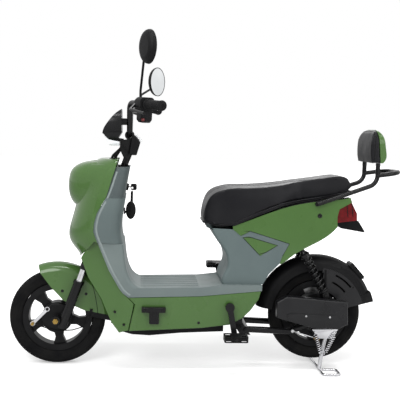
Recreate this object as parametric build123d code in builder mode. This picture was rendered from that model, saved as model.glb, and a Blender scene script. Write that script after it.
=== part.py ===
"""Electric motor scooter with pedals, parked on its centre stand.

Millimetres. +X forward, +Y to the rider's left, +Z up.
The origin is on the ground, below the middle of the overall length.
"""

import os
from math import cos, radians, sin

from build123d import *

# Overall sizes
WHEELBASE = 1048
TYRE_R = 191
TYRE_W = 62
RIM_R = 128  # bead seat
REAR_LIFT = 22  # the stand holds the rear tyre this far off the ground
REAR_OVERHANG = 324  # rear axle to the back of the grab rail
BAR_W = 680  # handlebar, end to end

# Steering geometry
RAKE = 20  # degrees that the steering axis leans back
AXLE_LEAD = 30  # the axle lies this far ahead of the fork legs

# Body widths, from the middle plane
DECK_HALF = 132
PILLAR_HALF = 110
TAIL_HALF = 112
SEAT_HALF = 118
WALL = 3
SEAM = 0.8  # gap that shows between two panels

# Running gear
FIT = 0.3  # gap between seated pieces
RUN = 0.05  # gap around a shaft that turns in its bore
TYRE_CLEAR = 12
FENDER_HALF = TYRE_W / 2 + TYRE_CLEAR + WALL
FRONT_FENDER_R = TYRE_R + 31
REAR_FENDER_R = TYRE_R + 54
SLIDER_R = 19
STANCHION_R = 14
STEERER_R = 14
HEAD_TUBE_R = 23
FORK_Y = FENDER_HALF + 3 + SLIDER_R
FRONT_AXLE_R = 6
REAR_AXLE_R = 8
DROPOUT_Y = 60  # inner face of the plates that hold the rear axle
DROPOUT_T = 6
SWING_R = 13
SWING_Y = DROPOUT_Y + SWING_R - 1
SHOCK_Y = 84
SHOCK_R = 18
RAIL_R = 12
RAIL_Y = 84
SUBFRAME_R = 11
BAR_R = 11
RACK_R = 9
CRANK_LENGTH = 112
SPINDLE_R = 9
CRANK_ANGLE = -101  # of the left crank, in the side view
CRANK_Y = DECK_HALF + 8
CRANK_T = 14
PEDAL_W = 62
STAND_ROD_R = 5

# Axles, as (x, z)
LENGTH = TYRE_R + WHEELBASE + REAR_OVERHANG
FRONT_AXLE = (LENGTH / 2 - TYRE_R, TYRE_R)
REAR_AXLE = (FRONT_AXLE[0] - WHEELBASE, TYRE_R + REAR_LIFT)
SIDES = (1, -1)  # left, right


def behind(distance, height):
    """Side-view point, so far behind the front axle and above the ground."""
    return (FRONT_AXLE[0] - distance, height)


def ahead(distance, height):
    """Side-view point, so far ahead of the rear axle and above the ground."""
    return (REAR_AXLE[0] + distance, height)


def at(point, y=0):
    """A side-view point as a point in space."""
    return (point[0], y, point[1])


def side_face(points, y=0, inset=0.0, curves=()):
    """Closed outline in the side view, at Y = y. Each curve is the first and last of the points it joins."""
    last_of = dict(curves)
    with BuildSketch(Plane.XZ.offset(-y)) as sketch:
        with BuildLine():
            first = 0
            while first < len(points):
                last = last_of.get(first, first + 1)
                run = [points[i % len(points)] for i in range(first, last + 1)]
                if first in last_of:
                    Spline(*run)
                else:
                    Line(*run)
                first = last
        make_face()
        if inset:
            offset(amount=-inset, kind=Kind.INTERSECTION, mode=Mode.REPLACE)
    return sketch.sketch


def across(point, y=0):
    """Plane whose normal is +Y, at a side-view point."""
    return Plane(origin=at(point, y), x_dir=(1, 0, 0), z_dir=(0, 1, 0))


def radial(axle):
    """Plane through an axle's centre line, with Y to the right and the radius up."""
    return Plane(origin=at(axle), x_dir=(0, 1, 0), z_dir=(1, 0, 0))


def along_y(axle):
    return Axis(at(axle), (0, 1, 0))


def tube(points, radius, bend=0):
    """Round bar along a line through the points, bent where the line turns."""
    with BuildPart() as bar:
        with BuildLine() as path:
            if bend:
                FilletPolyline(*points, radius=bend)
            else:
                Polyline(*points)
        with BuildSketch(Plane(origin=path.line @ 0, z_dir=path.line % 0)):
            Circle(radius)
        sweep()
    return bar.part


def save(part, label):
    part.label = label
    export_step(part, f"parts/{label}.step")


os.makedirs("parts", exist_ok=True)

# The steering axis: its foot lies behind the axle, and it leans back by the rake
STEER_UP = Vector(-sin(radians(RAKE)), 0, cos(radians(RAKE)))
STEER_AHEAD = Vector(cos(radians(RAKE)), 0, sin(radians(RAKE)))
STEER_FOOT = Vector(*at(FRONT_AXLE)) - AXLE_LEAD * STEER_AHEAD
CROWN_S = (228, 250)  # along the steering axis, from its foot
HEAD_S = (292, 560)
STEM_S = 770


def steer_point(s, forward=0, y=0):
    return STEER_FOOT + s * STEER_UP + forward * STEER_AHEAD + Vector(0, y, 0)


def steer_plane(s, y=0):
    """Plane square to the steering axis."""
    return Plane(origin=steer_point(s, 0, y), x_dir=STEER_AHEAD, z_dir=STEER_UP)


# Wheels
TREAD_HALF = TYRE_W / 2 - 9
BEAD_HALF = TYRE_W / 2 - 11
FLANGE_R = RIM_R + 10
RIM_INSIDE_R = RIM_R - 15
TYRE_WALL = 6
TREAD_T = 9
SPOKES = 5
SPOKE_ANGLE = 23  # where the wheels came to rest

TYRE_OUTSIDE = (  # across, radius: from the left bead to the middle of the tread
    (BEAD_HALF, RIM_R), (BEAD_HALF, FLANGE_R), (TYRE_W / 2, (TYRE_R + FLANGE_R) / 2),
    (TREAD_HALF, TYRE_R - 7), (0, TYRE_R),
)
BEAD_T = 6
TYRE_INSIDE = (  # the same, from the bead
    (BEAD_HALF - BEAD_T, RIM_R), (BEAD_HALF - BEAD_T, FLANGE_R),
    (TYRE_W / 2 - TYRE_WALL, (TYRE_R + FLANGE_R) / 2), (TREAD_HALF - TYRE_WALL, TYRE_R - 7 - TREAD_T),
    (0, TYRE_R - TREAD_T),
)

for name, axle in (("front_tyre", FRONT_AXLE), ("rear_tyre", REAR_AXLE)):
    with BuildPart() as tyre:
        with BuildSketch(radial(axle)):
            with BuildLine():
                for s in SIDES:
                    for toe, flange, widest, edge, crown in (TYRE_OUTSIDE, TYRE_INSIDE):
                        Line((s * toe[0], toe[1]), (s * flange[0], flange[1]))
                        ThreePointArc(
                            (s * flange[0], flange[1]), (s * widest[0], widest[1]), (s * edge[0], edge[1])
                        )
                    Line((s * TYRE_INSIDE[0][0], RIM_R), (s * BEAD_HALF, RIM_R))
                for toe, flange, widest, edge, crown in (TYRE_OUTSIDE, TYRE_INSIDE):
                    ThreePointArc(edge, crown, (-edge[0], edge[1]))
            make_face()
        revolve(axis=along_y(axle))
    save(tyre.part, name)

RIM_SECTION = [  # across, radius
    (BEAD_HALF + 3.5, RIM_INSIDE_R),
    (BEAD_HALF + 3.5, FLANGE_R - 0.5),
    (BEAD_HALF + FIT, FLANGE_R - 0.5),
    (BEAD_HALF + FIT, RIM_R - FIT),
]
RIM_LOOP = RIM_SECTION + [(-y, r) for y, r in reversed(RIM_SECTION)]
FRONT_HUB = [  # across, radius: the drum opens to the left, towards the brake plate
    (-36, FRONT_AXLE_R + RUN), (-36, 22), (-28, 30), (-24, 58), (-16, 62), (30, 62), (34, 58),
    (34, FRONT_AXLE_R + RUN),
]
MOTOR = [  # across, radius
    (-56, REAR_AXLE_R + RUN), (-56, 26), (-50, 30), (-48, 88), (-40, 98), (40, 98), (48, 88), (50, 30),
    (56, 26), (56, REAR_AXLE_R + RUN),
]
FRONT_SPOKE = [(50, -22), (82, -15), (118, -27), (118, 27), (82, 15), (50, 22)]  # along, across
REAR_SPOKE = [(90, -24), (118, -30), (118, 30), (90, 24)]
WHEELS = (  # name, axle, hub, spoke, half thickness of the spokes
    ("front_rim", FRONT_AXLE, FRONT_HUB, FRONT_SPOKE, 12),
    ("rear_rim", REAR_AXLE, MOTOR, REAR_SPOKE, 15),
)
for name, axle, hub, spoke, spoke_half in WHEELS:
    with BuildPart() as rim:
        for section in (RIM_LOOP, hub):
            with BuildSketch(radial(axle)):
                with BuildLine():
                    Polyline(*section, close=True)
                make_face()
            revolve(axis=along_y(axle))
        with BuildSketch(across(axle)):
            with PolarLocations(0, SPOKES, start_angle=SPOKE_ANGLE):
                Polygon(*spoke, align=None)
        extrude(amount=spoke_half, both=True)
    save(rim.part, name)

# Axles with their nuts
NUT_T = 10
AXLES = (  # name, axle, radius, half length, across the nut's corners
    ("front_axle", FRONT_AXLE, FRONT_AXLE_R, FORK_Y + SLIDER_R + NUT_T + 2, 11),
    ("rear_axle", REAR_AXLE, REAR_AXLE_R, DROPOUT_Y + DROPOUT_T + 8 + NUT_T, 14),
)
for name, axle, radius, half, nut_r in AXLES:
    with BuildPart() as shaft:
        with BuildSketch(across(axle)):
            Circle(radius)
        extrude(amount=half, both=True)
        for s in SIDES:
            with BuildSketch(across(axle, s * (half - 2 - NUT_T / 2))):
                RegularPolygon(nut_r, 6)
            extrude(amount=NUT_T / 2, both=True)
    save(shaft.part, name)

# Front fork
SLIDER_TOP = 178  # along the steering axis
SLIDER_FOOT = -22
LUG_R = 17
with BuildPart() as sliders:
    for s in SIDES:
        with BuildSketch(steer_plane(SLIDER_FOOT, s * FORK_Y)):
            Circle(SLIDER_R)
        extrude(amount=SLIDER_TOP - SLIDER_FOOT)
        with BuildSketch(steer_plane(SLIDER_TOP - 12, s * FORK_Y)):
            Circle(SLIDER_R + 2.5)
        extrude(amount=12)
        with BuildSketch(across(FRONT_AXLE, s * FORK_Y)):
            Circle(LUG_R)
        extrude(amount=SLIDER_R, both=True)
        with BuildSketch(across(FRONT_AXLE, s * FORK_Y)):
            Circle(FRONT_AXLE_R + FIT)
        extrude(amount=SLIDER_R + 1, both=True, mode=Mode.SUBTRACT)
        with BuildSketch(steer_plane(60, s * FORK_Y)):
            Circle(STANCHION_R + FIT)
        extrude(amount=SLIDER_TOP, mode=Mode.SUBTRACT)
save(sliders.part, "fork_sliders")

STANCHION_FOOT = 70  # along the steering axis
with BuildPart() as stanchions:
    for s in SIDES:
        with BuildSketch(steer_plane(STANCHION_FOOT, s * FORK_Y)):
            Circle(STANCHION_R)
        extrude(amount=CROWN_S[1] - STANCHION_FOOT)
save(stanchions.part, "fork_tubes")

CROWN_DEPTH = 36
FENDER_BOSS_S = 221.5  # where the crown's boss meets the mudguard
CROWN_ROUNDS = (  # radius, from, to: boss, race, steering tube
    (8, FENDER_BOSS_S, CROWN_S[0]),
    (HEAD_TUBE_R, CROWN_S[1], HEAD_S[0] - 1),
    (STEERER_R, CROWN_S[1], STEM_S),
)
with BuildPart() as crown:
    with BuildSketch(steer_plane(CROWN_S[0])):
        RectangleRounded(CROWN_DEPTH, 2 * FORK_Y + CROWN_DEPTH, CROWN_DEPTH / 2 - 1)
    extrude(amount=CROWN_S[1] - CROWN_S[0])
    for s in SIDES:
        with BuildSketch(steer_plane(CROWN_S[0] - 1, s * FORK_Y)):
            Circle(STANCHION_R + FIT)
        extrude(amount=CROWN_S[1] - CROWN_S[0] + 2, mode=Mode.SUBTRACT)
    for radius, low, high in CROWN_ROUNDS:
        with BuildSketch(steer_plane(low)):
            Circle(radius)
        extrude(amount=high - low)
save(crown.part, "fork_crown")

# Mudguards: a U section turned about the axle, cut to its side view
FRONT_FENDER_SIDE = [  # ahead of the axle, above the ground
    (78, 430), (78, 400), (66, 372), (24, 316), (-26, 263), (-70, 241), (-120, 219), (-212, 200),
    (-300, 200), (-300, 430),
]
FENDER_SEAM = (422, 158, 586)  # centre ahead, centre height, radius
FENDER_PAD_S = 150
SHOULDER = 32  # the crown of the section starts this far below its top


def fender_section(axle, crown_r, foot_r, half):
    with BuildSketch(radial(axle)) as section:
        for shrink, mode in ((0, Mode.ADD), (WALL, Mode.SUBTRACT)):
            foot = (half - shrink, foot_r - shrink)
            shoulder = (half - 2 - shrink, crown_r - SHOULDER)
            with BuildLine():
                Polyline(shoulder, foot, (-foot[0], foot[1]), (-shoulder[0], shoulder[1]))
                ThreePointArc((-shoulder[0], shoulder[1]), (0, crown_r - shrink), shoulder)
            make_face(mode=mode)
    return section.sketch


with BuildPart() as front_fender:
    revolve(fender_section(FRONT_AXLE, FRONT_FENDER_R, 40, FENDER_HALF), axis=along_y(FRONT_AXLE))
    extrude(
        side_face([behind(-x, z) for x, z in FRONT_FENDER_SIDE]),
        amount=2 * FENDER_HALF, both=True, mode=Mode.INTERSECT,
    )
    with BuildSketch(across(behind(-FENDER_SEAM[0], FENDER_SEAM[1]))):
        Circle(FENDER_SEAM[2] + SEAM / 2)
        Circle(FENDER_SEAM[2] - SEAM / 2, mode=Mode.SUBTRACT)
    extrude(amount=2 * FENDER_HALF, both=True, mode=Mode.SUBTRACT)
    pad = steer_point(FENDER_PAD_S)
    for s in SIDES:
        with BuildSketch(across((pad.X, pad.Z), s * (FENDER_HALF - WALL / 2))):
            Circle(10)
        extrude(amount=s * (FORK_Y - SLIDER_R - FIT - FENDER_HALF + WALL / 2))
save(front_fender.part, "front_fender")

REAR_FENDER_SIDE = [(0, 0), (-300, 124), (-300, 320), (300, 320), (300, 36)]  # about the rear axle
FENDER_SLOTS = (213, 196)  # radius of each curved slot
REFLECTOR = [(-136, 414), (-141, 424), (-150, 427), (-199, 373), (-199, 362), (-191, 361)]
STAY_TOP = (-32, 402)
SHOCK_FOOT = (-26, 305)
SHOCK_HEAD = (85, 500)
with BuildPart() as rear_fender:
    revolve(fender_section(REAR_AXLE, REAR_FENDER_R, 185, FENDER_HALF + 2), axis=along_y(REAR_AXLE))
    extrude(
        side_face([ahead(x, REAR_AXLE[1] + z) for x, z in REAR_FENDER_SIDE]),
        amount=2 * FENDER_HALF, both=True, mode=Mode.INTERSECT,
    )
    with BuildSketch(across(REAR_AXLE)):
        for radius in FENDER_SLOTS:
            with BuildLine() as slot:
                CenterArc((0, 0), radius, 205, 32)
            SlotArc(slot.edges()[0], 8)
    extrude(amount=2 * FENDER_HALF, both=True, mode=Mode.SUBTRACT)
    extrude(side_face([ahead(*p) for p in REFLECTOR]), amount=28, both=True)
    for s in SIDES:
        start = at(ahead(*STAY_TOP), s * (FENDER_HALF + 0.5))
        foot = at(ahead(SHOCK_FOOT[0] - 8, SHOCK_FOOT[1] - 12), s * (DROPOUT_Y - 5 - FIT))
        add(tube([start, foot], 5))
save(rear_fender.part, "rear_fender")

# Front brake: plate in the drum's open side, with the arm that its cable pulls
PLATE_R = 59
PLATE_Y = (35, 43)  # inner and outer face
SLEEVE_R = 16
CAM = (37, 38)  # from the front axle
CAM_R = 7
ARM_END = (94, -21)
ARM_Y = PLATE_Y[1] + 3
ARM_T = 5
ARM_W = 12
ARM_EYE_R = 9.5
BARREL_R = 5.5
with BuildPart() as brake:
    with BuildSketch(across(FRONT_AXLE, PLATE_Y[0])):
        Circle(PLATE_R)
    extrude(amount=PLATE_Y[1] - PLATE_Y[0])
    fillet(brake.faces().sort_by(Axis.Y)[-1].edges(), 3)
    with BuildSketch(across(FRONT_AXLE, PLATE_Y[1])):
        Circle(SLEEVE_R)
        with Locations((CAM[0], -CAM[1])):
            Circle(CAM_R + 4, mode=Mode.ADD)
    extrude(amount=ARM_Y - FIT - PLATE_Y[1])
    with BuildSketch(across(FRONT_AXLE, ARM_Y - FIT)):
        Circle(SLEEVE_R)
    extrude(amount=FORK_Y - SLIDER_R - ARM_Y)
    with BuildSketch(across(FRONT_AXLE, ARM_Y - 1)):
        with Locations((CAM[0], -CAM[1])):
            Circle(CAM_R - 1)
    extrude(amount=ARM_T + 4)
    with BuildSketch(across(FRONT_AXLE)):
        Circle(FRONT_AXLE_R + FIT)
    extrude(amount=2 * FORK_Y, mode=Mode.SUBTRACT)
save(brake.part, "front_brake")

with BuildPart() as arm:
    with BuildSketch(across(FRONT_AXLE, ARM_Y)):
        ends = [(CAM[0], -CAM[1]), (ARM_END[0], -ARM_END[1])]
        with BuildLine():
            Line(*ends)
        trace(line_width=ARM_W)
        with Locations(*ends):
            Circle(ARM_EYE_R)
        with Locations(ends[0]):
            Circle(CAM_R - 1 + FIT, mode=Mode.SUBTRACT)
    extrude(amount=ARM_T)
    with BuildSketch(across(FRONT_AXLE, ARM_Y - 6)):
        with Locations(ends[1]):
            Circle(BARREL_R)
    extrude(amount=18)
save(arm.part, "brake_arm")

# The brake's cable hangs below the hub and ends in a clip on the mudguard
BRAKE_CABLE = (  # behind the axle, height
    (-ARM_END[0] + ARM_EYE_R - 0.2, TYRE_R + ARM_END[1] - 3), (-2, 140.6), (63, 145), (116, 162), (134, 226),
)
BRAKE_CABLE_Y = 48.5
BRAKE_CABLE_R = 2
CLIP = [(129, 218), (140, 218), (142, 230), (131, 230)]
CLIP_Y = (FENDER_HALF - 1, BRAKE_CABLE_Y + 3)
with BuildPart() as brake_cable:
    add(tube([at(behind(*p), BRAKE_CABLE_Y) for p in BRAKE_CABLE], BRAKE_CABLE_R, 30))
    middle = (CLIP_Y[0] + CLIP_Y[1]) / 2
    extrude(side_face([behind(*p) for p in CLIP], middle), amount=CLIP_Y[1] - middle, both=True)
save(brake_cable.part, "brake_cable")

# Handlebar, stem and everything that turns with it
BAR_CENTRE = behind(275, 925)
BAR_TOP = behind(275, 1050)
GRIP_END = behind(393, 1034)
BAR_RISE_Y = 45
BAR_TURN_Y = 85
BAR_BEND = 32
GRIP_L = 118
GRIP_R = 17
BAR_PATH = [
    at(GRIP_END, BAR_W / 2 - 4), at(BAR_TOP, BAR_TURN_Y), at(BAR_CENTRE, BAR_RISE_Y),
    at(BAR_CENTRE, -BAR_RISE_Y), at(BAR_TOP, -BAR_TURN_Y), at(GRIP_END, 4 - BAR_W / 2),
]
with BuildPart() as handlebar:
    add(tube(BAR_PATH, BAR_R, BAR_BEND))
save(handlebar.part, "handlebar")

CLAMP_R = 19
CLAMP_HALF = 20
with BuildPart() as stem:
    with BuildSketch(across(BAR_CENTRE)):
        Circle(CLAMP_R)
    extrude(amount=CLAMP_HALF, both=True)
    with BuildSketch(steer_plane(STEM_S - 40)):
        Circle(STEERER_R + 6)
    extrude(amount=44)
    neck = steer_point(STEM_S - 18)
    with BuildSketch(Plane.XZ):
        with BuildLine():
            Line((neck.X, neck.Z), BAR_CENTRE)
        trace(line_width=30)
    extrude(amount=CLAMP_HALF - 4, both=True)
    with BuildSketch(across(BAR_CENTRE)):
        Circle(BAR_R + FIT)
    extrude(amount=2 * CLAMP_HALF, both=True, mode=Mode.SUBTRACT)
    with BuildSketch(steer_plane(STEM_S - 60)):
        Circle(STEERER_R + FIT)
    extrude(amount=60 + FIT, mode=Mode.SUBTRACT)
save(stem.part, "handlebar_stem")


def bar_plane(inboard, side):
    """Plane square to a grip, so far inboard of the bar's end, facing outward."""
    end = Vector(*at(GRIP_END, side * (BAR_W / 2 - 4)))
    turn = Vector(*at(BAR_TOP, side * BAR_TURN_Y))
    out = (end - turn).normalized()
    return Plane(origin=end - inboard * out, x_dir=Vector(0, 0, 1).cross(out), z_dir=out)


GRIP_ROUNDS = (  # radius, inboard of the bar's end, length
    (GRIP_R, GRIP_L, GRIP_L), (GRIP_R + 4, GRIP_L, 5), (GRIP_R + 2, 6, 6),
)
with BuildPart() as grips:
    for s in SIDES:
        for radius, inboard, length in GRIP_ROUNDS:
            with BuildSketch(bar_plane(inboard, s)):
                Circle(radius)
                Circle(BAR_R + FIT, mode=Mode.SUBTRACT)
            extrude(amount=length)
        with BuildSketch(bar_plane(-FIT, s)):
            Circle(GRIP_R)
        extrude(amount=3)
        with BuildSketch(bar_plane(1, s)):
            Circle(GRIP_R)
            Circle(BAR_R + FIT, mode=Mode.SUBTRACT)
        extrude(amount=2)
save(grips.part, "grips")

POD_L = 46
SWITCH_L = 36  # the switch box hangs below the pod
with BuildPart() as controls:
    for s in SIDES:
        with BuildSketch(bar_plane(GRIP_L + POD_L + 2, s)):
            RectangleRounded(58, 50, 16)
        extrude(amount=POD_L)
        with BuildSketch(bar_plane(GRIP_L + SWITCH_L + 7, s)):
            with Locations((0, -40)):
                RectangleRounded(46, 48, 10)
        extrude(amount=SWITCH_L)
        with BuildSketch(bar_plane(GRIP_L + POD_L + 36, s)):
            RectangleRounded(34, 36, 10)
        extrude(amount=34)
        with BuildSketch(bar_plane(GRIP_L + POD_L + 60, s)):
            Circle(BAR_R + FIT)
        extrude(amount=POD_L + 80, mode=Mode.SUBTRACT)
save(controls.part, "hand_controls")

LEVER_R = 5.5
with BuildPart() as levers:
    for s in SIDES:
        root = bar_plane(GRIP_L + POD_L + 20, s)
        tip = bar_plane(34, s)
        knee = bar_plane(GRIP_L + 24, s)
        points = [
            root.from_local_coords((-s * 21, -4, 0)), knee.from_local_coords((-s * 58, -22, 0)),
            tip.from_local_coords((-s * 52, -30, 0)),
        ]
        add(tube([(p.X, p.Y, p.Z) for p in points], LEVER_R, 20))
save(levers.part, "brake_levers")

# Mirrors on rods, the heads turned as the rider left them
MIRROR_HALF = (52, 62)  # across, up
MIRROR_T = 24
MIRROR_RIM = 3
GLASS_DEPTH = 3
MIRRORS = (  # side; behind, out and height of the head, its turn; behind, out and height of the rod's end
    (1, 345, 258, 1246, 30, 326, 246, 1206),
    (-1, 387, 284, 1157, 38, 362, 268, 1128),
)
MIRROR_SHRINK = ((0, 1.0), (-12, 0.95), (-MIRROR_T, 0.6))  # depth, share of the outline
ROD_R = 4.5


def mirror_plane(side, back, out, height, turn):
    """Plane of the glass, facing the rider."""
    facing = Vector(-cos(radians(turn)), -side * sin(radians(turn)), 0)
    level = facing.cross(Vector(0, 0, 1))
    return Plane(origin=at(behind(back, height), side * out), x_dir=level, z_dir=facing)


with BuildPart() as mirrors:
    for side, back, out, height, turn, rod_back, rod_out, rod_height in MIRRORS:
        glass = mirror_plane(side, back, out, height, turn)
        for depth, share in MIRROR_SHRINK:
            with BuildSketch(glass.offset(depth)):
                Ellipse(MIRROR_HALF[0] * share, MIRROR_HALF[1] * share)
        loft()
        base = bar_plane(GRIP_L + POD_L + 20, side).from_local_coords((0, 18 + FIT, 0))
        knee = (base.X, base.Y, base.Z + 30)
        rod = [(base.X, base.Y, base.Z), knee, at(behind(rod_back, rod_height), side * rod_out)]
        head = glass.offset(-MIRROR_T / 2).origin
        add(tube(rod + [(head.X, head.Y, head.Z - 20)], ROD_R, 8))
    for side, back, out, height, turn, *_ in MIRRORS:
        with BuildSketch(mirror_plane(side, back, out, height, turn).offset(-GLASS_DEPTH)):
            Ellipse(MIRROR_HALF[0] - MIRROR_RIM, MIRROR_HALF[1] - MIRROR_RIM)
        extrude(amount=GLASS_DEPTH + 1, mode=Mode.SUBTRACT)
save(mirrors.part, "mirrors")

with BuildPart() as glasses:
    for side, back, out, height, turn, *_ in MIRRORS:
        with BuildSketch(mirror_plane(side, back, out, height, turn).offset(-GLASS_DEPTH)):
            Ellipse(MIRROR_HALF[0] - MIRROR_RIM - FIT, MIRROR_HALF[1] - MIRROR_RIM - FIT)
        extrude(amount=GLASS_DEPTH - 0.5)
save(glasses.part, "mirror_glass")

# Headlamp and instrument panel
COWL = [(243, 1027), (215, 1005), (190, 974), (174, 946), (171, 931), (198, 907), (224, 902), (245, 936)]
COWL_CURVES = ((0, 4),)
COWL_VIEW = (162, 150, 60, 957)  # from the front: width, height, corner, height of the centre
LENS = [(178, 922), (198, 884), (236, 884), (236, 899.5), (196.3, 906.4)]
LENS_VIEW = (140, 60, 24, 907)
NECK = [(214, 916), (214, 903.9), (252, 897.2), (252, 910)]  # carries the wiring
NECK_HALF = 30
EAR = [(228, 965), (228, 990), (263.5, 990), (263.5, 965)]  # holds the cowl to the bar
EAR_Y = 64
EAR_T = 16
CHEEK = [(237.5, 904), (237.5, 868), (256, 830), (267, 834), (274.5, 848), (279, 890), (281, 908), (262, 908)]
CHEEK_Y = 26  # the cheeks stand beside the cables and the stem
CHEEK_T = 8


def front_view(width, height, corner, centre):
    """Rounded outline seen from the front, as a bar along X."""
    with BuildPart() as bar:
        with BuildSketch(Plane.YZ):
            with Locations((0, centre)):
                RectangleRounded(width, height, corner)
        extrude(amount=LENGTH, both=True)
    return bar.part


with BuildPart() as cowl:
    extrude(side_face([behind(*p) for p in COWL], curves=COWL_CURVES), amount=BAR_W, both=True)
    add(front_view(*COWL_VIEW), mode=Mode.INTERSECT)
    extrude(side_face([behind(*p) for p in NECK]), amount=NECK_HALF, both=True)
    for s in SIDES:
        extrude(side_face([behind(*p) for p in EAR], s * EAR_Y), amount=EAR_T / 2, both=True)
        extrude(side_face([behind(*p) for p in CHEEK], s * CHEEK_Y), amount=CHEEK_T / 2, both=True)
save(cowl.part, "headlight_cowl")

with BuildPart() as lens:
    extrude(side_face([behind(*p) for p in LENS]), amount=BAR_W, both=True)
    add(front_view(*LENS_VIEW), mode=Mode.INTERSECT)
save(lens.part, "headlight_lens")

PANEL = [(286, 936), (318, 897), (304, 848), (276, 848)]
PANEL_HALF = 66
PANEL_EDGE_R = 5
PANEL_GAP = 1
with BuildPart() as panel:
    extrude(side_face([behind(*p) for p in PANEL]), amount=PANEL_HALF, both=True)
    fillet(panel.edges(), PANEL_EDGE_R)
    with BuildSketch(steer_plane(STEM_S - 120)):
        Circle(STEERER_R + 6 + FIT)
    extrude(amount=240, mode=Mode.SUBTRACT)
    add(tube(BAR_PATH, BAR_R + PANEL_GAP, BAR_BEND), mode=Mode.SUBTRACT)
    with BuildSketch(across(BAR_CENTRE)):
        Circle(CLAMP_R + PANEL_GAP)
    extrude(amount=CLAMP_HALF + PANEL_GAP, both=True, mode=Mode.SUBTRACT)
save(panel.part, "instrument_panel")

# Cables run from the headlamp's back down into the shield
CABLES = (  # out, radius, points as behind and height
    (16, 3.5, ((246, 897.5), (243, 872), (216, 838), (220, 765))),
    (-16, 3.5, ((246, 897.5), (244, 872), (222, 838), (222, 765))),
    (0, 5, ((246, 897.5), (240, 872), (205, 838), (212, 775))),
)
with BuildPart() as cables:
    for out, radius, points in CABLES:
        add(tube([at(behind(*p), out) for p in points], radius, 24))
save(cables.part, "control_cables")

# Main frame
DOWN_TUBE = [(175, 585), (238, 455), (258, 345), (320, 198)]  # behind the front axle, height
DOWN_TUBE_R = 17
RAIL_Z = 195
RAIL_FRONT = 310
RAIL_REAR = 345  # ahead of the rear axle
PILLAR_TUBE = [(325, 201), (300, 235), (262, 420), (250, 560), (120, 640), (-40, 668)]
PIVOT = (295, 160)  # of the swing arm, ahead of the rear axle
PIVOT_PLATE = [(275, 142), (316, 142), (345, 186), (345, 206), (318, 206)]
BRACKET = (368, 266)  # crank spindle, ahead of the rear axle
BRACKET_PLATE = [(340, 198), (396, 198), (386, 278), (350, 278)]
SHOCK_PLATE = [(268, 468), (268, 502), (100, 522), (72, 516), (70, 491), (90, 488)]
PLATE_T = 6
FRAME_PLATES = (  # outline, outer face
    (PIVOT_PLATE, RAIL_Y + 10), (BRACKET_PLATE, RAIL_Y + 3), (SHOCK_PLATE, RAIL_Y - SUBFRAME_R + 1.5),
)
BRACKET_HALF = 100
PIVOT_R = 6
SHOCK_PIN_R = 6
with BuildPart() as frame:
    with BuildSketch(steer_plane(HEAD_S[0])):
        Circle(HEAD_TUBE_R)
    extrude(amount=HEAD_S[1] - HEAD_S[0])
    add(tube([at(behind(*p)) for p in DOWN_TUBE], DOWN_TUBE_R, 50))
    for x in (behind(RAIL_FRONT + RAIL_R, 0)[0], ahead(RAIL_REAR - RAIL_R, 0)[0]):
        add(tube([(x, -RAIL_Y, RAIL_Z), (x, RAIL_Y, RAIL_Z)], RAIL_R - 2))
    add(tube([at(ahead(-25, 665), -RAIL_Y), at(ahead(-25, 665), RAIL_Y)], SUBFRAME_R - 1))
    with BuildSketch(across(ahead(*BRACKET))):
        Circle(SPINDLE_R + 11)
    extrude(amount=BRACKET_HALF, both=True)
    for s in SIDES:
        rail = (behind(RAIL_FRONT, RAIL_Z), ahead(RAIL_REAR - 35, RAIL_Z))
        add(tube([at(p, s * RAIL_Y) for p in rail], RAIL_R))
        add(tube([at(ahead(*p), s * RAIL_Y) for p in PILLAR_TUBE], SUBFRAME_R, 24))
        for outline, outer in FRAME_PLATES:
            face = side_face([ahead(*p) for p in outline], s * (outer - PLATE_T / 2))
            extrude(face, amount=PLATE_T / 2, both=True)
        with BuildSketch(across(ahead(*SHOCK_HEAD), s * (RAIL_Y - SUBFRAME_R))):
            Circle(SHOCK_PIN_R)
        extrude(amount=s * (SHOCK_Y + 12 - RAIL_Y + SUBFRAME_R))
    with BuildSketch(across(ahead(*BRACKET))):
        Circle(SPINDLE_R + RUN)
    extrude(amount=BRACKET_HALF + 5, both=True, mode=Mode.SUBTRACT)
    with BuildSketch(across(ahead(*PIVOT))):
        Circle(PIVOT_R + FIT)
    extrude(amount=RAIL_Y + 20, both=True, mode=Mode.SUBTRACT)
    with BuildSketch(steer_plane(HEAD_S[0] - 20)):
        Circle(STEERER_R + RUN)
    extrude(amount=HEAD_S[1] - HEAD_S[0] + 40, mode=Mode.SUBTRACT)
save(frame.part, "main_frame")

BATTERY = (345, 640, 178, 332.5)  # from and to behind the front axle, bottom, top
BATTERY_HALF = RAIL_Y - RAIL_R - FIT
with BuildPart() as battery:
    front, rear, low, high = BATTERY
    corners = [behind(front, low), behind(rear, low), behind(rear, high), behind(front, high)]
    extrude(side_face(corners), amount=BATTERY_HALF, both=True)
save(battery.part, "battery_pack")

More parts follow.
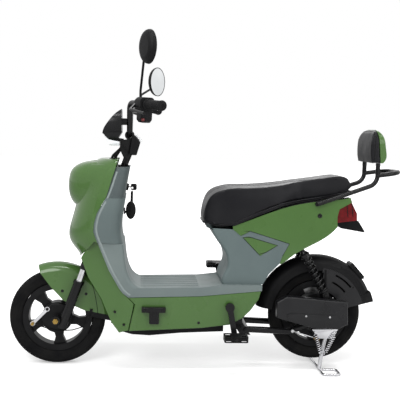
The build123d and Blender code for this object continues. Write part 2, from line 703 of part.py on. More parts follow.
# Swing arm with the plates that hold the rear axle
SWING_PATH = [(295, 160), (110, 152), (20, 190)]
DROPOUT = [
    (62, 175), (62, 235), (20, 285), (-10, 318), (-42, 318), (-60, 240), (-62, 160), (-20, 140), (25, 150),
]
with BuildPart() as swing_arm:
    with BuildSketch(across(ahead(*PIVOT))):
        Circle(15)
    extrude(amount=RAIL_Y + 4 - FIT, both=True)
    with BuildSketch(across(ahead(*PIVOT))):
        Circle(PIVOT_R)
    extrude(amount=RAIL_Y + 10 + 12, both=True)
    for s in SIDES:
        add(tube([at(ahead(*p), s * SWING_Y) for p in SWING_PATH], SWING_R, 40))
        with BuildSketch(across(ahead(*PIVOT), s * (RAIL_Y + 10 + FIT))):
            RegularPolygon(11, 6)
        extrude(amount=s * 9)
        face = side_face([ahead(*p) for p in DROPOUT], s * (DROPOUT_Y + DROPOUT_T / 2))
        extrude(face, amount=DROPOUT_T / 2, both=True)
        with BuildSketch(across(ahead(*SHOCK_FOOT), s * DROPOUT_Y)):
            Circle(SHOCK_PIN_R)
        extrude(amount=s * (SHOCK_Y + 12 - DROPOUT_Y))
    with BuildSketch(across(REAR_AXLE)):
        Circle(REAR_AXLE_R + FIT)
    extrude(amount=2 * DROPOUT_Y, both=True, mode=Mode.SUBTRACT)
save(swing_arm.part, "swing_arm")

shock_low = Vector(*at(ahead(*SHOCK_FOOT)))
shock_high = Vector(*at(ahead(*SHOCK_HEAD)))
shock_up = (shock_high - shock_low).normalized()
SHOCK_L = (shock_high - shock_low).length
SHOCK_ROUNDS = (  # radius, from, to along the shock
    (9, 0, SHOCK_L), (SHOCK_R, 26, 34), (SHOCK_R - 3, 34, SHOCK_L - 46),
    (SHOCK_R, SHOCK_L - 46, SHOCK_L - 30),
)
with BuildPart() as shocks:
    for s in SIDES:
        for radius, low, high in SHOCK_ROUNDS:
            start = shock_low + low * shock_up + Vector(0, s * SHOCK_Y, 0)
            with BuildSketch(Plane(origin=start, z_dir=shock_up)):
                Circle(radius)
            extrude(amount=high - low)
        for end in (SHOCK_FOOT, SHOCK_HEAD):
            with BuildSketch(across(ahead(*end), s * SHOCK_Y)):
                Circle(13)
            extrude(amount=8, both=True)
    for s in SIDES:
        for end in (SHOCK_FOOT, SHOCK_HEAD):
            with BuildSketch(across(ahead(*end), s * SHOCK_Y)):
                Circle(SHOCK_PIN_R + FIT)
            extrude(amount=30, both=True, mode=Mode.SUBTRACT)
save(shocks.part, "rear_shocks")

# Centre stand
STAND_PIVOT = (-35, 140)
STAND_PLATE = [(-4, 172), (-62, 172), (-56, 134), (-46, 124), (-24, 124), (-6, 148)]
STAND_PIN_R = 6
STAND_Y = 84
with BuildPart() as bracket:
    for s in SIDES:
        inner = DROPOUT_Y + DROPOUT_T + FIT
        extrude(side_face([ahead(*p) for p in STAND_PLATE], s * (inner + 2.5)), amount=2.5, both=True)
        with BuildSketch(across(ahead(*STAND_PIVOT), s * inner)):
            Circle(STAND_PIN_R)
        extrude(amount=s * (STAND_Y + 14 - inner))
        with BuildSketch(across(ahead(*STAND_PIVOT), s * (STAND_Y + 10))):
            Circle(STAND_PIN_R + 5)
        extrude(amount=s * 4)
save(bracket.part, "stand_bracket")

STAND_LEG = ((*STAND_PIVOT, STAND_Y), (-22, 80, STAND_Y + 2), (-8, STAND_ROD_R, 100))  # ahead, height, out
STAND_LEG_R = 8
LOOP = ((-8, 0), (-8, 175), (-76, 175), (-76, 112), (-20, 112))  # ahead of the rear axle, out
with BuildPart() as stand:
    for s in SIDES:
        add(tube([at(ahead(x, STAND_ROD_R), s * y) for x, y in LOOP], STAND_ROD_R, 14))
        leg = [at(ahead(a, z), s * y) for a, z, y in STAND_LEG]
        add(tube(leg, STAND_LEG_R, 30))
        with BuildSketch(across(ahead(*STAND_PIVOT), s * STAND_Y)):
            Circle(13)
        extrude(amount=7, both=True)
    with BuildSketch(across(ahead(*STAND_PIVOT))):
        Circle(STAND_PIN_R + RUN)
    extrude(amount=STAND_Y + 20, both=True, mode=Mode.SUBTRACT)
    with BuildSketch():
        Rectangle(2 * LENGTH, BAR_W)
    extrude(amount=-20, mode=Mode.SUBTRACT)
save(stand.part, "center_stand")

# Pedal crank and pedals
ARM_VECTOR = (CRANK_LENGTH * cos(radians(CRANK_ANGLE)), CRANK_LENGTH * sin(radians(CRANK_ANGLE)))
PEDAL_BAR_R = 6
PEDAL_L = 92
PEDAL_T = 22
with BuildPart() as crankset:
    with BuildSketch(across(ahead(*BRACKET))):
        Circle(SPINDLE_R)
    extrude(amount=CRANK_Y + CRANK_T, both=True)
    for s in SIDES:
        end = (s * ARM_VECTOR[0], -s * ARM_VECTOR[1])
        with BuildSketch(across(ahead(*BRACKET), s * CRANK_Y)):
            Circle(18)
            with Locations(end):
                Circle(13)
            with BuildLine():
                Line((0, 0), end)
            trace(line_width=22)
        extrude(amount=s * CRANK_T)
        with BuildSketch(across(ahead(*BRACKET), s * CRANK_Y)):
            with Locations(end):
                Circle(PEDAL_BAR_R)
        extrude(amount=s * (CRANK_T + PEDAL_W + 6))
save(crankset.part, "crankset")

PEDAL_HOLES = [(x, y) for x in (-30, 30) for y in (-17, 17)]
PEDAL_HOLE = 20
PEDAL_SLITS = [(x, z) for x in (-26, 26) for z in (-5.5, 5.5)]  # seen from the side
PEDAL_SLIT = (34, 3)
for s, name in ((1, "left_pedal"), (-1, "right_pedal")):
    middle = ahead(BRACKET[0] + s * ARM_VECTOR[0], BRACKET[1] + s * ARM_VECTOR[1])
    with BuildPart() as pedal:
        with BuildSketch(Plane(origin=at(middle, s * (CRANK_Y + CRANK_T + 3 + PEDAL_W / 2)))):
            RectangleRounded(PEDAL_L, PEDAL_W, 8)
            with Locations(*PEDAL_HOLES):
                Rectangle(PEDAL_HOLE, PEDAL_HOLE, mode=Mode.SUBTRACT)
        extrude(amount=PEDAL_T / 2, both=True)
        with BuildSketch(across(middle)):
            Circle(PEDAL_BAR_R + RUN)
            with Locations(*PEDAL_SLITS):
                Rectangle(*PEDAL_SLIT)
        extrude(amount=BAR_W, both=True, mode=Mode.SUBTRACT)
    save(pedal.part, name)

# Leg shield: level sections with a bowed front, the front half green and the rear half grey
SHIELD_FRONT = (  # height, front, where the side starts, half width
    (436, 84, 150, 112), (478, 64, 138, 126), (518, 43, 130, 138), (580, 50, 135, 150), (650, 68, 150, 154),
    (720, 88, 170, 152), (790, 116, 200, 143), (832, 165, 235, 120),
)
NOSE = (  # the same, for the rounded nose
    (640, 80, 128, 82), (662, 52, 122, 96), (690, 41, 118, 103), (725, 38, 118, 106), (758, 40, 120, 105),
    (785, 50, 126, 99), (806, 74, 134, 86), (818, 106, 142, 64), (824, 136, 150, 36),
)
SHIELD_REAR = (  # height, where the side starts, rear, half width
    (498, 140, 262, 134), (560, 140, 250, 146), (650, 150, 259, 154), (720, 170, 270, 152),
    (806, 200, 284, 134),
)
SHIELD_BACK = 310  # the front sections are drawn to here, then cut
NOSE_BACK = 172
CORNER = 45
GREEN_EDGE = [(161, 510), (146, 554), (148, 588), (159, 628), (193, 689), (227, 804), (236, 840)]
SHIELD_FOOT = [(80, 430), (102, 459), (150, 517)]
WELL = (197, 276, 62)  # opening for the stem: front, rear, half width
POCKET_Z = 684  # above this the inner shield is set in
POCKET_STEP = 4


def bowed_loft(sections, back, inset=0.0, foot=0.0, top=0.0):
    """Block with a bowed front through level sections, thinner by inset and moved at its foot and top."""
    heights = [height for height, *_ in sections]
    heights[0] += foot
    heights[-1] += top
    back_x = behind(back, 0)[0]
    with BuildPart() as block:
        for z, (_, front, side, half) in zip(heights, sections):
            tip = behind(front + inset, 0)[0]
            edge = behind(side, 0)[0]
            width = half - inset
            with BuildSketch(Plane.XY.offset(z)):
                with BuildLine():
                    ThreePointArc((edge, width), (tip, 0), (edge, -width))
                    Polyline((edge, -width), (back_x, -width), (back_x, width), (edge, width))
                make_face()
        loft()
    return block.part


def well():
    """Opening in the shield's top, through which the stem turns."""
    front, rear, half = WELL
    with BuildPart() as opening:
        with BuildSketch(Plane.XY.offset(SHIELD_FRONT[-2][0] - 10)):
            with Locations((behind((front + rear) / 2, 0)[0], 0)):
                RectangleRounded(rear - front, 2 * half, 20)
        extrude(amount=100)
    return opening.part


with BuildPart() as shield:
    add(bowed_loft(SHIELD_FRONT, SHIELD_BACK))
    add(bowed_loft(NOSE, NOSE_BACK))
    add(bowed_loft(SHIELD_FRONT, SHIELD_BACK, WALL, -1, -WALL), mode=Mode.SUBTRACT)
    add(bowed_loft(NOSE, NOSE_BACK + 10, WALL, WALL, -WALL), mode=Mode.SUBTRACT)
    region = [behind(b, z) for b, z in SHIELD_FOOT + GREEN_EDGE] + [behind(0, 840), behind(0, 430)]
    extrude(side_face(region), amount=BAR_W, both=True, mode=Mode.INTERSECT)
    add(well(), mode=Mode.SUBTRACT)
save(shield.part, "front_shield")


def rear_shell(inset, reach=0, foot=0.0):
    """Block inside the inner shield's outer face, drawn further forward by reach and lower by foot."""
    heights = [height for height, *_ in SHIELD_REAR]
    heights[0] -= foot
    heights[-1] -= inset
    radius = CORNER - inset
    bow = radius * (1 - cos(radians(45)))
    with BuildPart() as shell:
        for z, (_, side, rear, half) in zip(heights, SHIELD_REAR):
            edge = behind(side - reach, 0)[0]
            back = behind(rear - inset, 0)[0]
            width = half - inset
            with BuildSketch(Plane.XY.offset(z)):
                with BuildLine():
                    Line((edge, -width), (edge, width))
                    for s in SIDES:
                        Line((edge, s * width), (back + radius, s * width))
                        ThreePointArc(
                            (back + radius, s * width), (back + bow, s * (width - bow)),
                            (back, s * (width - radius)),
                        )
                    Line((back, width - radius), (back, radius - width))
                make_face()
        loft()
    return shell.part


def shield_wall(outer, inner, low, high):
    """Part of the inner shield's wall, between two insets and two heights."""
    with BuildPart() as wall:
        add(rear_shell(outer))
        add(rear_shell(inner, 60, 1), mode=Mode.SUBTRACT)
        with BuildSketch(Plane.XY.offset(low)):
            Rectangle(2 * LENGTH, 2 * BAR_W)
        extrude(amount=high - low, mode=Mode.INTERSECT)
    return wall.part


INNER_FOOT = (502.1, 511.8)  # lower edge at the rear and at the front
with BuildPart() as inner_shield:
    add(shield_wall(0, WALL, SHIELD_REAR[0][0], POCKET_Z))
    add(shield_wall(0, POCKET_STEP + WALL, POCKET_Z - WALL, POCKET_Z))
    add(shield_wall(POCKET_STEP, POCKET_STEP + WALL, POCKET_Z - WALL, SHIELD_REAR[-1][0]))
    region = [behind(b + SEAM, z) for b, z in GREEN_EDGE]
    region += [behind(320, 840), behind(320, INNER_FOOT[0]), behind(161 + SEAM, INNER_FOOT[1])]
    extrude(side_face(region), amount=BAR_W, both=True, mode=Mode.INTERSECT)
    add(well(), mode=Mode.SUBTRACT)
save(inner_shield.part, "inner_shield")


def panel_block(outline, front_y, rear_y, depth):
    """Left side panel as a solid block. Its outer face runs from front_y to rear_y."""
    box = outline.bounding_box()
    low, high = box.min.X - 1, box.max.X + 1
    with BuildPart() as block:
        extrude(outline, amount=2 * BAR_W, both=True)
        with BuildSketch():
            with BuildLine():
                Polyline(
                    (high, front_y), (low, rear_y), (low, rear_y - depth), (high, front_y - depth), close=True
                )
            make_face()
        extrude(amount=2 * BAR_W, mode=Mode.INTERSECT)
    return block.part


def pan(points, front_y, rear_y, depth, edge_r, curves=(), sharp=()):
    """Left side panel with its edges turned in and rounded, but for those that start at the sharp points."""
    corners = [Vector(*at(points[i])) for i in sharp]
    with BuildPart() as panel:
        add(panel_block(side_face(points, 0, 0, curves), front_y, rear_y, depth))
        rim = panel.faces().sort_by(Axis.Y)[-1].outer_wire().edges()
        for corner in corners:
            rim = [e for e in rim if (Vector((e @ 0).X, 0, (e @ 0).Z) - corner).length > 1]
        fillet(rim, edge_r)
        inside = side_face(points, 0, WALL)
        add(panel_block(inside, front_y - WALL, rear_y - WALL, depth + 20), mode=Mode.SUBTRACT)
    return panel.part


FAIRING = [
    behind(98, 447), behind(127, 373), behind(178, 292), behind(220, 196), behind(250, 157),
    behind(286, 167), behind(306, 270), behind(281, 297), behind(261, 313), behind(246, 333),
    behind(206, 402), behind(161, 510), behind(150, 516), behind(104, 460),
]
with BuildPart() as fairing:
    add(pan(FAIRING, 110, 131, 15, 4))
    mirror(about=Plane.XZ)
save(fairing.part, "lower_fairing")

BELLY = [
    behind(283, 297), behind(563, 305), ahead(244, 328), ahead(253, 295), ahead(285, 249), ahead(317, 218),
    ahead(366, 192), behind(567, 178), behind(488, 174), behind(288, 164), behind(309, 269),
]
with BuildPart() as belly:
    add(pan(BELLY, DECK_HALF - 1, DECK_HALF, 26, 4))
    mirror(about=Plane.XZ)
    with BuildSketch(across(ahead(*BRACKET))):
        Circle(SPINDLE_R + 6)
    extrude(amount=BAR_W, both=True, mode=Mode.SUBTRACT)
save(belly.part, "side_panels")

# Splash guard and tray close the floor from the front and from below
GUARD = [(221, 440), (255.7, 183), (259.7, 183), (225, 440)]
GUARD_HALF = 92
with BuildPart() as guard:
    extrude(side_face([behind(*p) for p in GUARD]), amount=GUARD_HALF, both=True)
    with BuildSketch(Plane(origin=at(behind(236, 345)), z_dir=(-1, 0, 0))):
        Rectangle(40, 30)
    extrude(amount=12)
    add(tube([at(behind(*p)) for p in DOWN_TUBE], DOWN_TUBE_R + FIT, 50), mode=Mode.SUBTRACT)
save(guard.part, "splash_guard")

TRAY = [(250, 157), (300, 143), (368, 139), (489, 150), (662, 157), (662, 178 - FIT), (264, 178 - FIT)]
TRAY_HALF = 98
with BuildPart() as tray:
    extrude(side_face([behind(*p) for p in TRAY]), amount=TRAY_HALF, both=True)
    hollow = side_face([behind(*p) for p in TRAY], 0, WALL)
    extrude(hollow, amount=TRAY_HALF - WALL, both=True, mode=Mode.SUBTRACT)
    with BuildSketch(Plane.XY.offset(160)):
        with Locations((behind(310, 0)[0], 0), (behind(652, 0)[0], 0)):
            Rectangle(14, 2 * TRAY_HALF - 30)
    extrude(amount=40, mode=Mode.SUBTRACT)
save(tray.part, "under_tray")

# Floor: deck and the upright that meets the inner shield
FLOOR_TOP = [
    behind(260, 505), behind(266, 458), behind(277, 398), behind(294, 361), behind(330, 336),
    behind(570, 341), ahead(408, 349), ahead(398, 351), ahead(241, 351),
]
FLOOR_EDGE = [  # along the green panels, from the rear to the front
    ahead(241, 329), behind(563, 306), behind(284, 298), behind(262, 314), behind(247, 334),
    behind(207, 403), behind(162, 511),
]
FLOOR_CURVES = ((0, 4),)
FLOOR_SIDE_T = 9
GROOVE = ((342, 335.1), (560, 339.6), (560, 346), (342, 341))  # behind the front axle, height
GROOVE_Y = range(-117, 118, 18)
GROOVE_W = 3
with BuildPart() as floor:
    extrude(side_face(FLOOR_TOP + FLOOR_EDGE, curves=FLOOR_CURVES), amount=DECK_HALF, both=True)
    corners = floor.edges().filter_by(GeomType.BSPLINE).filter_by(lambda e: e.center().X < behind(240, 0)[0])
    fillet(corners, 14)
    hollow = [(x + WALL, z - WALL) for x, z in FLOOR_TOP + FLOOR_EDGE]
    extrude(
        side_face(hollow, curves=FLOOR_CURVES), amount=DECK_HALF - FLOOR_SIDE_T, both=True, mode=Mode.SUBTRACT
    )
    for y in GROOVE_Y:
        face = side_face([behind(*p) for p in GROOVE], y)
        extrude(face, amount=GROOVE_W / 2, both=True, mode=Mode.SUBTRACT)
    for s in SIDES:
        add(tube([at(ahead(*p), s * RAIL_Y) for p in PILLAR_TUBE], SUBFRAME_R + 2, 24), mode=Mode.SUBTRACT)
    add(tube([at(behind(*p)) for p in DOWN_TUBE], DOWN_TUBE_R + 2, 50), mode=Mode.SUBTRACT)
    with BuildSketch(steer_plane(HEAD_S[0])):
        Circle(HEAD_TUBE_R + 3)
    extrude(amount=HEAD_S[1] - HEAD_S[0], mode=Mode.SUBTRACT)
save(floor.part, "floor_board")

# Fold-up footrests on the belly
FOOTRESTS = (  # outline behind the front axle, depth
    ([(366, 196), (404, 196), (404, 246), (366, 246)], 14),
    ([(336, 244), (429, 244), (429, 264), (336, 264)], 24),
)
with BuildPart() as footrests:
    for s in SIDES:
        for outline, depth in FOOTRESTS:
            face = side_face([behind(*p) for p in outline], s * (DECK_HALF - 0.5 + depth / 2))
            extrude(face, amount=depth / 2, both=True)
save(footrests.part, "footrests")

# Seat pillar with the green inserts and the box inside
PILLAR_FRONT = [
    ahead(444, 572), ahead(410, 508), ahead(385, 471), ahead(377, 433), ahead(380, 414), ahead(396, 378),
    ahead(398, 351.3),
]
PILLAR_BACK = [
    ahead(236, 351.3), ahead(213, 392), ahead(172, 434), ahead(162, 464), ahead(136, 514), ahead(292, 562),
    ahead(329, 543), ahead(361, 569),
]
PILLAR_CURVES = ((0, 6),)
PILLAR_EDGE_R = 12
PILLAR_TOP = [ahead(470, 590), ahead(440, 560), ahead(350, 545), ahead(350, 590)]  # open under the seat
INSERT = [ahead(321, 537), ahead(298, 541), ahead(182, 508), ahead(250, 466)]
INSERT_T = 4
HINGE = (452, 573)
HINGE_PIN_R = 5
HINGE_LUG_R = 9
HINGE_LUG_Y = 30
HINGE_STRUT = [ahead(432, 552), ahead(430, 558), ahead(446, 580), ahead(458, 568)]
with BuildPart() as pillar:
    extrude(side_face(PILLAR_FRONT + PILLAR_BACK, curves=PILLAR_CURVES), amount=PILLAR_HALF, both=True)
    fillet(pillar.edges().filter_by(GeomType.BSPLINE), PILLAR_EDGE_R)
    inside = [(x - WALL, z) for x, z in PILLAR_FRONT[:-1]]
    inside += [(PILLAR_FRONT[-1][0] - WALL, PILLAR_FRONT[-1][1] + WALL)]
    inside += [(x - 12, z + 12) for x, z in PILLAR_BACK]
    extrude(
        side_face(inside, curves=PILLAR_CURVES), amount=PILLAR_HALF - 2 * WALL, both=True, mode=Mode.SUBTRACT
    )
    extrude(side_face(PILLAR_TOP), amount=PILLAR_HALF - 2 * WALL, both=True, mode=Mode.SUBTRACT)
    extrude(side_face(INSERT, 0, -SEAM), amount=BAR_W, both=True, mode=Mode.SUBTRACT)
    for s in SIDES:
        add(tube([at(ahead(*p), s * RAIL_Y) for p in PILLAR_TUBE], SUBFRAME_R + 2, 24), mode=Mode.SUBTRACT)
        with BuildSketch(across(ahead(*HINGE), s * HINGE_LUG_Y)):
            Circle(HINGE_LUG_R)
        extrude(amount=5, both=True)
        extrude(side_face(HINGE_STRUT, s * HINGE_LUG_Y), amount=5, both=True)
    with BuildSketch(across(ahead(*HINGE))):
        Circle(HINGE_PIN_R)
    extrude(amount=HINGE_LUG_Y + 4, both=True)
save(pillar.part, "seat_pillar")

with BuildPart() as inserts:
    for s in SIDES:
        extrude(side_face(INSERT, s * (PILLAR_HALF - 1.5)), amount=INSERT_T / 2, both=True)
save(inserts.part, "pillar_inserts")

BIN = [ahead(345, 372), ahead(235, 372), ahead(235, 540), ahead(345, 540)]
BIN_HALF = RAIL_Y - SUBFRAME_R - PLATE_T + 1.5 - FIT
with BuildPart() as storage:
    extrude(side_face(BIN), amount=BIN_HALF, both=True)
    cavity = [(x, z + WALL) for x, z in BIN]
    cavity = [(cavity[0][0] - WALL, cavity[0][1]), (cavity[1][0] + WALL, cavity[1][1])]
    cavity += [(BIN[2][0] + WALL, BIN[2][1] + 10), (BIN[3][0] - WALL, BIN[3][1] + 10)]
    extrude(side_face(cavity), amount=BIN_HALF - WALL, both=True, mode=Mode.SUBTRACT)
save(storage.part, "storage_bin")

# Tail
RACK_Y = 88
RACK_FRONT = (31, 675)  # the tubes end here, outside the tail panels
RACK_FRONT_Y = 116
RACK_PATH = ((*RACK_FRONT, RACK_FRONT_Y), (-214, 759, RACK_Y), (-214, 841.7, RACK_Y))  # ahead, height, out
RACK_BEND = 45
RACK_LOOP = ((-208, 791), (-REAR_OVERHANG + RACK_R, 806))  # ahead, height
RACK_PIN_R = 8  # pins carry the front ends on the frame's tubes
RACK_PIN_Y = (72, RACK_FRONT_Y)
TAIL = [
    ahead(362, 581), ahead(237, 629), ahead(122, 667), ahead(42, 682), ahead(-49, 692), ahead(-105, 702),
    ahead(-112, 684), ahead(-62, 656), ahead(-55, 626), ahead(-56, 600), ahead(-57, 585), ahead(11, 529),
    ahead(54, 506), ahead(139, 451), ahead(166, 433), ahead(171, 435), ahead(161, 464), ahead(134, 515),
    ahead(293, 563), ahead(330, 544.2), ahead(362, 570.2),
]
TAIL_CURVES = ((0, 5), (10, 13))
TAIL_SHARP = range(5, 21)
TAIL_REAR = 104
TAIL_EDGE_R = 5
with BuildPart() as tail:
    add(pan(TAIL, TAIL_HALF, TAIL_REAR, 13, TAIL_EDGE_R, TAIL_CURVES, TAIL_SHARP))
    add(tube([at(ahead(a, z), y) for a, z, y in RACK_PATH], RACK_R + FIT, RACK_BEND), mode=Mode.SUBTRACT)
    with BuildSketch(across(ahead(*RACK_FRONT))):
        Circle(RACK_PIN_R + FIT)
    extrude(amount=BAR_W, mode=Mode.SUBTRACT)
    mirror(about=Plane.XZ)
save(tail.part, "tail_panels")

LIGHT = [(-55.9, 626), (-62.8, 655.5), (-112.6, 683.4), (-137, 638), (-138, 611), (-56.8, 600)]
with BuildPart() as light:
    extrude(side_face([ahead(*p) for p in LIGHT]), amount=TAIL_REAR - 10, both=True)
save(light.part, "tail_light")

PLATE_HOLDER = [(-60, 600.1), (-66, 590), (-91, 571), (-186, 556), (-188, 561), (-161, 602), (-138, 610.7)]
with BuildPart() as holder:
    extrude(side_face([ahead(*p) for p in PLATE_HOLDER]), amount=40, both=True)
save(holder.part, "tail_bracket")

with BuildPart() as rack:
    for s in SIDES:
        add(tube([at(ahead(a, z), s * y) for a, z, y in RACK_PATH], RACK_R, RACK_BEND))
        with BuildSketch(across(ahead(*RACK_FRONT), s * RACK_PIN_Y[0])):
            Circle(RACK_PIN_R)
        extrude(amount=s * (RACK_PIN_Y[1] - RACK_PIN_Y[0]))
    loop = [at(ahead(*p), RACK_Y) for p in RACK_LOOP]
    add(tube(loop + [(x, -y, z) for x, y, z in reversed(loop)], RACK_R, 60))
save(rack.part, "grab_rail")

PAD = [(-187, 842), (-181, 872), (-180, 908), (-185, 944), (-198, 968), (-209, 974), (-221.5, 842)]
PAD_CURVES = ((0, 5),)
PAD_SHELL = [(-221.8, 842), (-230, 842), (-242, 858), (-240, 900), (-229, 950), (-209.3, 974)]
SHELL_CURVES = ((1, 5),)
PAD_VIEW = (194, 191, 55, 878)  # from the front: width, height, corner, height of the centre
with BuildPart() as pad:
    extrude(side_face([ahead(*p) for p in PAD], curves=PAD_CURVES), amount=BAR_W, both=True)
    add(front_view(*PAD_VIEW), mode=Mode.INTERSECT)
save(pad.part, "backrest_pad")

with BuildPart() as pad_shell:
    extrude(side_face([ahead(*p) for p in PAD_SHELL], curves=SHELL_CURVES), amount=BAR_W, both=True)
    add(front_view(*PAD_VIEW), mode=Mode.INTERSECT)
save(pad_shell.part, "backrest_shell")

# Covers over the swing arm's plates
COVER = [
    ahead(180, 285), ahead(142, 308), ahead(-105, 288), ahead(-109, 197), ahead(-73, 180), ahead(24, 179),
    ahead(178, 223),
]
COVER_STEP = [
    ahead(139, 237), ahead(118, 243), ahead(-57, 235), ahead(-83, 207), ahead(-72, 184), ahead(26, 183),
    ahead(128, 214),
]
COVER_OUT = 138
STEP_T = 5
COVER_BOSSES = ((40, 225), (-45, 235))
with BuildPart() as covers:
    add(pan(COVER, COVER_OUT, COVER_OUT, 36, 6))
    extrude(side_face(COVER_STEP, COVER_OUT - 1), amount=-STEP_T - 1)
    for boss in COVER_BOSSES:
        with BuildSketch(across(ahead(*boss), DROPOUT_Y + DROPOUT_T + FIT)):
            Circle(6)
        extrude(amount=COVER_OUT - 1 - DROPOUT_Y - DROPOUT_T)
    mirror(about=Plane.XZ)
save(covers.part, "swing_arm_covers")

# Seat: cushion and base plate, hinged at the nose
SEAT_TOP = [
    (474, 591), (478, 609), (466, 668), (446, 703), (413, 721), (310, 732), (173, 745), (63, 765), (-20, 778),
    (-83, 784), (-103, 776), (-122, 745),
]
SEAT_LOW = [(-101, 715), (35, 688), (165, 667), (269, 628), (352, 589), (455, 586)]
SEAT_CURVES = ((1, 10), (12, 17))  # first and last of the outline's points on each curve
BASE_CURVES = ((0, 5), (6, 11))
SEAT_BASE_T = 8
SEAT_PLAN = (  # ahead, half width
    (478, 62), (462, 90), (434, 108), (390, 116), (300, 117), (220, 114), (170, 103), (130, 87), (96, 75),
    (40, 72), (-60, 69), (-122, 60),
)


def seat_plan(inset):
    half = [(ahead(a, 0)[0], w - inset) for a, w in SEAT_PLAN]
    other = [(x, -y) for x, y in half]
    with BuildSketch(Plane.XY.offset(500)) as sketch:
        with BuildLine():
            Spline(*half)
            Line(half[-1], other[-1])
            Spline(*other)
            Line(half[0], other[0])
        make_face()
    return sketch.sketch


with BuildPart() as seat:
    outline = SEAT_TOP + [(a, z + SEAT_BASE_T + FIT) for a, z in SEAT_LOW]
    extrude(side_face([ahead(*p) for p in outline], curves=SEAT_CURVES), amount=SEAT_HALF, both=True)
    extrude(seat_plan(0), amount=400, mode=Mode.INTERSECT)
save(seat.part, "seat_cushion")

with BuildPart() as seat_base:
    outline = SEAT_LOW + [(a, z + SEAT_BASE_T) for a, z in reversed(SEAT_LOW)]
    extrude(side_face([ahead(*p) for p in outline], curves=BASE_CURVES), amount=SEAT_HALF, both=True)
    extrude(seat_plan(8), amount=400, mode=Mode.INTERSECT)
    for s in SIDES:
        with BuildSketch(across(ahead(*HINGE), s * 16)):
            Circle(HINGE_LUG_R)
            with Locations((0, -10)):
                Rectangle(2 * HINGE_LUG_R, 14)
        extrude(amount=6, both=True)
    with BuildSketch(across(ahead(*HINGE))):
        Circle(HINGE_PIN_R + RUN)
    extrude(amount=60, both=True, mode=Mode.SUBTRACT)
save(seat_base.part, "seat_base")

# Lock with its key, and the bag hook, on the inner shield
LOCK = (266.8, 719)  # behind the front axle, height
with BuildPart() as lock:
    with BuildSketch(Plane(origin=at(behind(*LOCK)), z_dir=(-1, 0, -0.157))):
        Circle(14)
    extrude(amount=8)
    with BuildSketch(Plane(origin=at(behind(LOCK[0] + 8, LOCK[1])), z_dir=(-1, 0, 0))):
        RectangleRounded(4, 10, 1.5)
    extrude(amount=10)
    with BuildSketch(Plane(origin=at(behind(LOCK[0] + 28, LOCK[1])), x_dir=(1, 0, 0), z_dir=(0, 1, 0))):
        RectangleRounded(24, 26, 6)
        with Locations((6, 4)):
            Circle(4, mode=Mode.SUBTRACT)
    extrude(amount=2, both=True)
save(lock.part, "ignition_key")

HOOK = (256.8, 622)
with BuildPart() as hook:
    with BuildSketch(Plane(origin=at(behind(*HOOK)), z_dir=(-1, 0, 0))):
        RectangleRounded(24, 36, 6)
    extrude(amount=5)
    add(tube([at(behind(HOOK[0] + a, HOOK[1] + z)) for a, z in ((4, -4), (24, -8), (30, 14))], 5, 6))
save(hook.part, "bag_hook")
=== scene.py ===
# %% [markdown]
# # An electric scooter, dressed in Blender
# The frame, the panels and the wheels come from the CAD model, which is loaded as a fixed frame.
# Blender adds what a mould, a loom or a tyre press adds: tread, coils, ribs, bolts, soft seats, and the
# finish of every surface. All sizes are metres. +X is forward, +Y is the rider's left, +Z is up.

import math

import bpy
from mathutils import Matrix, Vector


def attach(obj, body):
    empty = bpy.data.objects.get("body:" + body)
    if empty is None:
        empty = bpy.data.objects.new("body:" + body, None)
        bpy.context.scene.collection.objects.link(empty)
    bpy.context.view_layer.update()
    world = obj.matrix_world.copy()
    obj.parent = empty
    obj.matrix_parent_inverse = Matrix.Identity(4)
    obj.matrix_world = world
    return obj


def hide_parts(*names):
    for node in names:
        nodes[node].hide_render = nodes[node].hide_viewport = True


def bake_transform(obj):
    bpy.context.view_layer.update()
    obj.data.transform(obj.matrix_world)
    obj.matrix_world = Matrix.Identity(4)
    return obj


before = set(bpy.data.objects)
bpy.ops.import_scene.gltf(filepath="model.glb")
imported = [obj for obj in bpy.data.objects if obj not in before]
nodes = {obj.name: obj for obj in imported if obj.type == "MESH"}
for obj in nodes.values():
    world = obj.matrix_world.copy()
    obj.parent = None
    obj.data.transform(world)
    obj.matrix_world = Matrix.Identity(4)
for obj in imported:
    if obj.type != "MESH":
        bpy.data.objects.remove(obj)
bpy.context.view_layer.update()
FRONT = Vector((0.5905, 0.0, 0.191))
REAR = Vector((-0.4575, 0.0, 0.213))
print("CAD nodes:", len(nodes))


def ahead(a, h, y=0.0):
    """A point so many millimetres ahead of the rear axle, above the ground and out from the middle."""
    return Vector((REAR.x + a / 1000, y / 1000, h / 1000))


def behind(b, h, y=0.0):
    """A point so many millimetres behind the front axle, above the ground and out from the middle."""
    return Vector((FRONT.x - b / 1000, y / 1000, h / 1000))


# %% [markdown]
# ## Camera
# The photograph was taken from the rider's left, a little behind the middle and slightly from above.
# The place, the turn and the focal length were worked out from the wheels and the pedal crank.
# A camera looks along its own -Z, so its matrix has the picture's right, its up and its back as columns.

# %% Camera
YAW, PITCH, ROLL = 0.0793812, 0.0944962, 0.0280141
CAMERA_PLACE = (FRONT.x - 0.3324, 2.8923, 0.9467)
SENSOR = 36  # mm
FOCAL_SHARE = 720.594 / 400  # the focal length, as a share of the picture's width
look = Vector((-math.sin(YAW) * math.cos(PITCH), -math.cos(YAW) * math.cos(PITCH), -math.sin(PITCH)))
level = look.cross(Vector((0, 0, 1))).normalized()
plumb = level.cross(look)
right = math.cos(ROLL) * level + math.sin(ROLL) * plumb
up = -math.sin(ROLL) * level + math.cos(ROLL) * plumb
lens = bpy.data.cameras.new("camera")
lens.sensor_width = SENSOR
lens.lens = FOCAL_SHARE * SENSOR
camera = bpy.data.objects.new("camera", lens)
bpy.context.collection.objects.link(camera)
turn = Matrix((right, up, -look)).transposed().to_4x4()
camera.matrix_world = Matrix.Translation(CAMERA_PLACE) @ turn
bpy.context.scene.camera = camera
print("lens", round(lens.lens, 1), "mm")

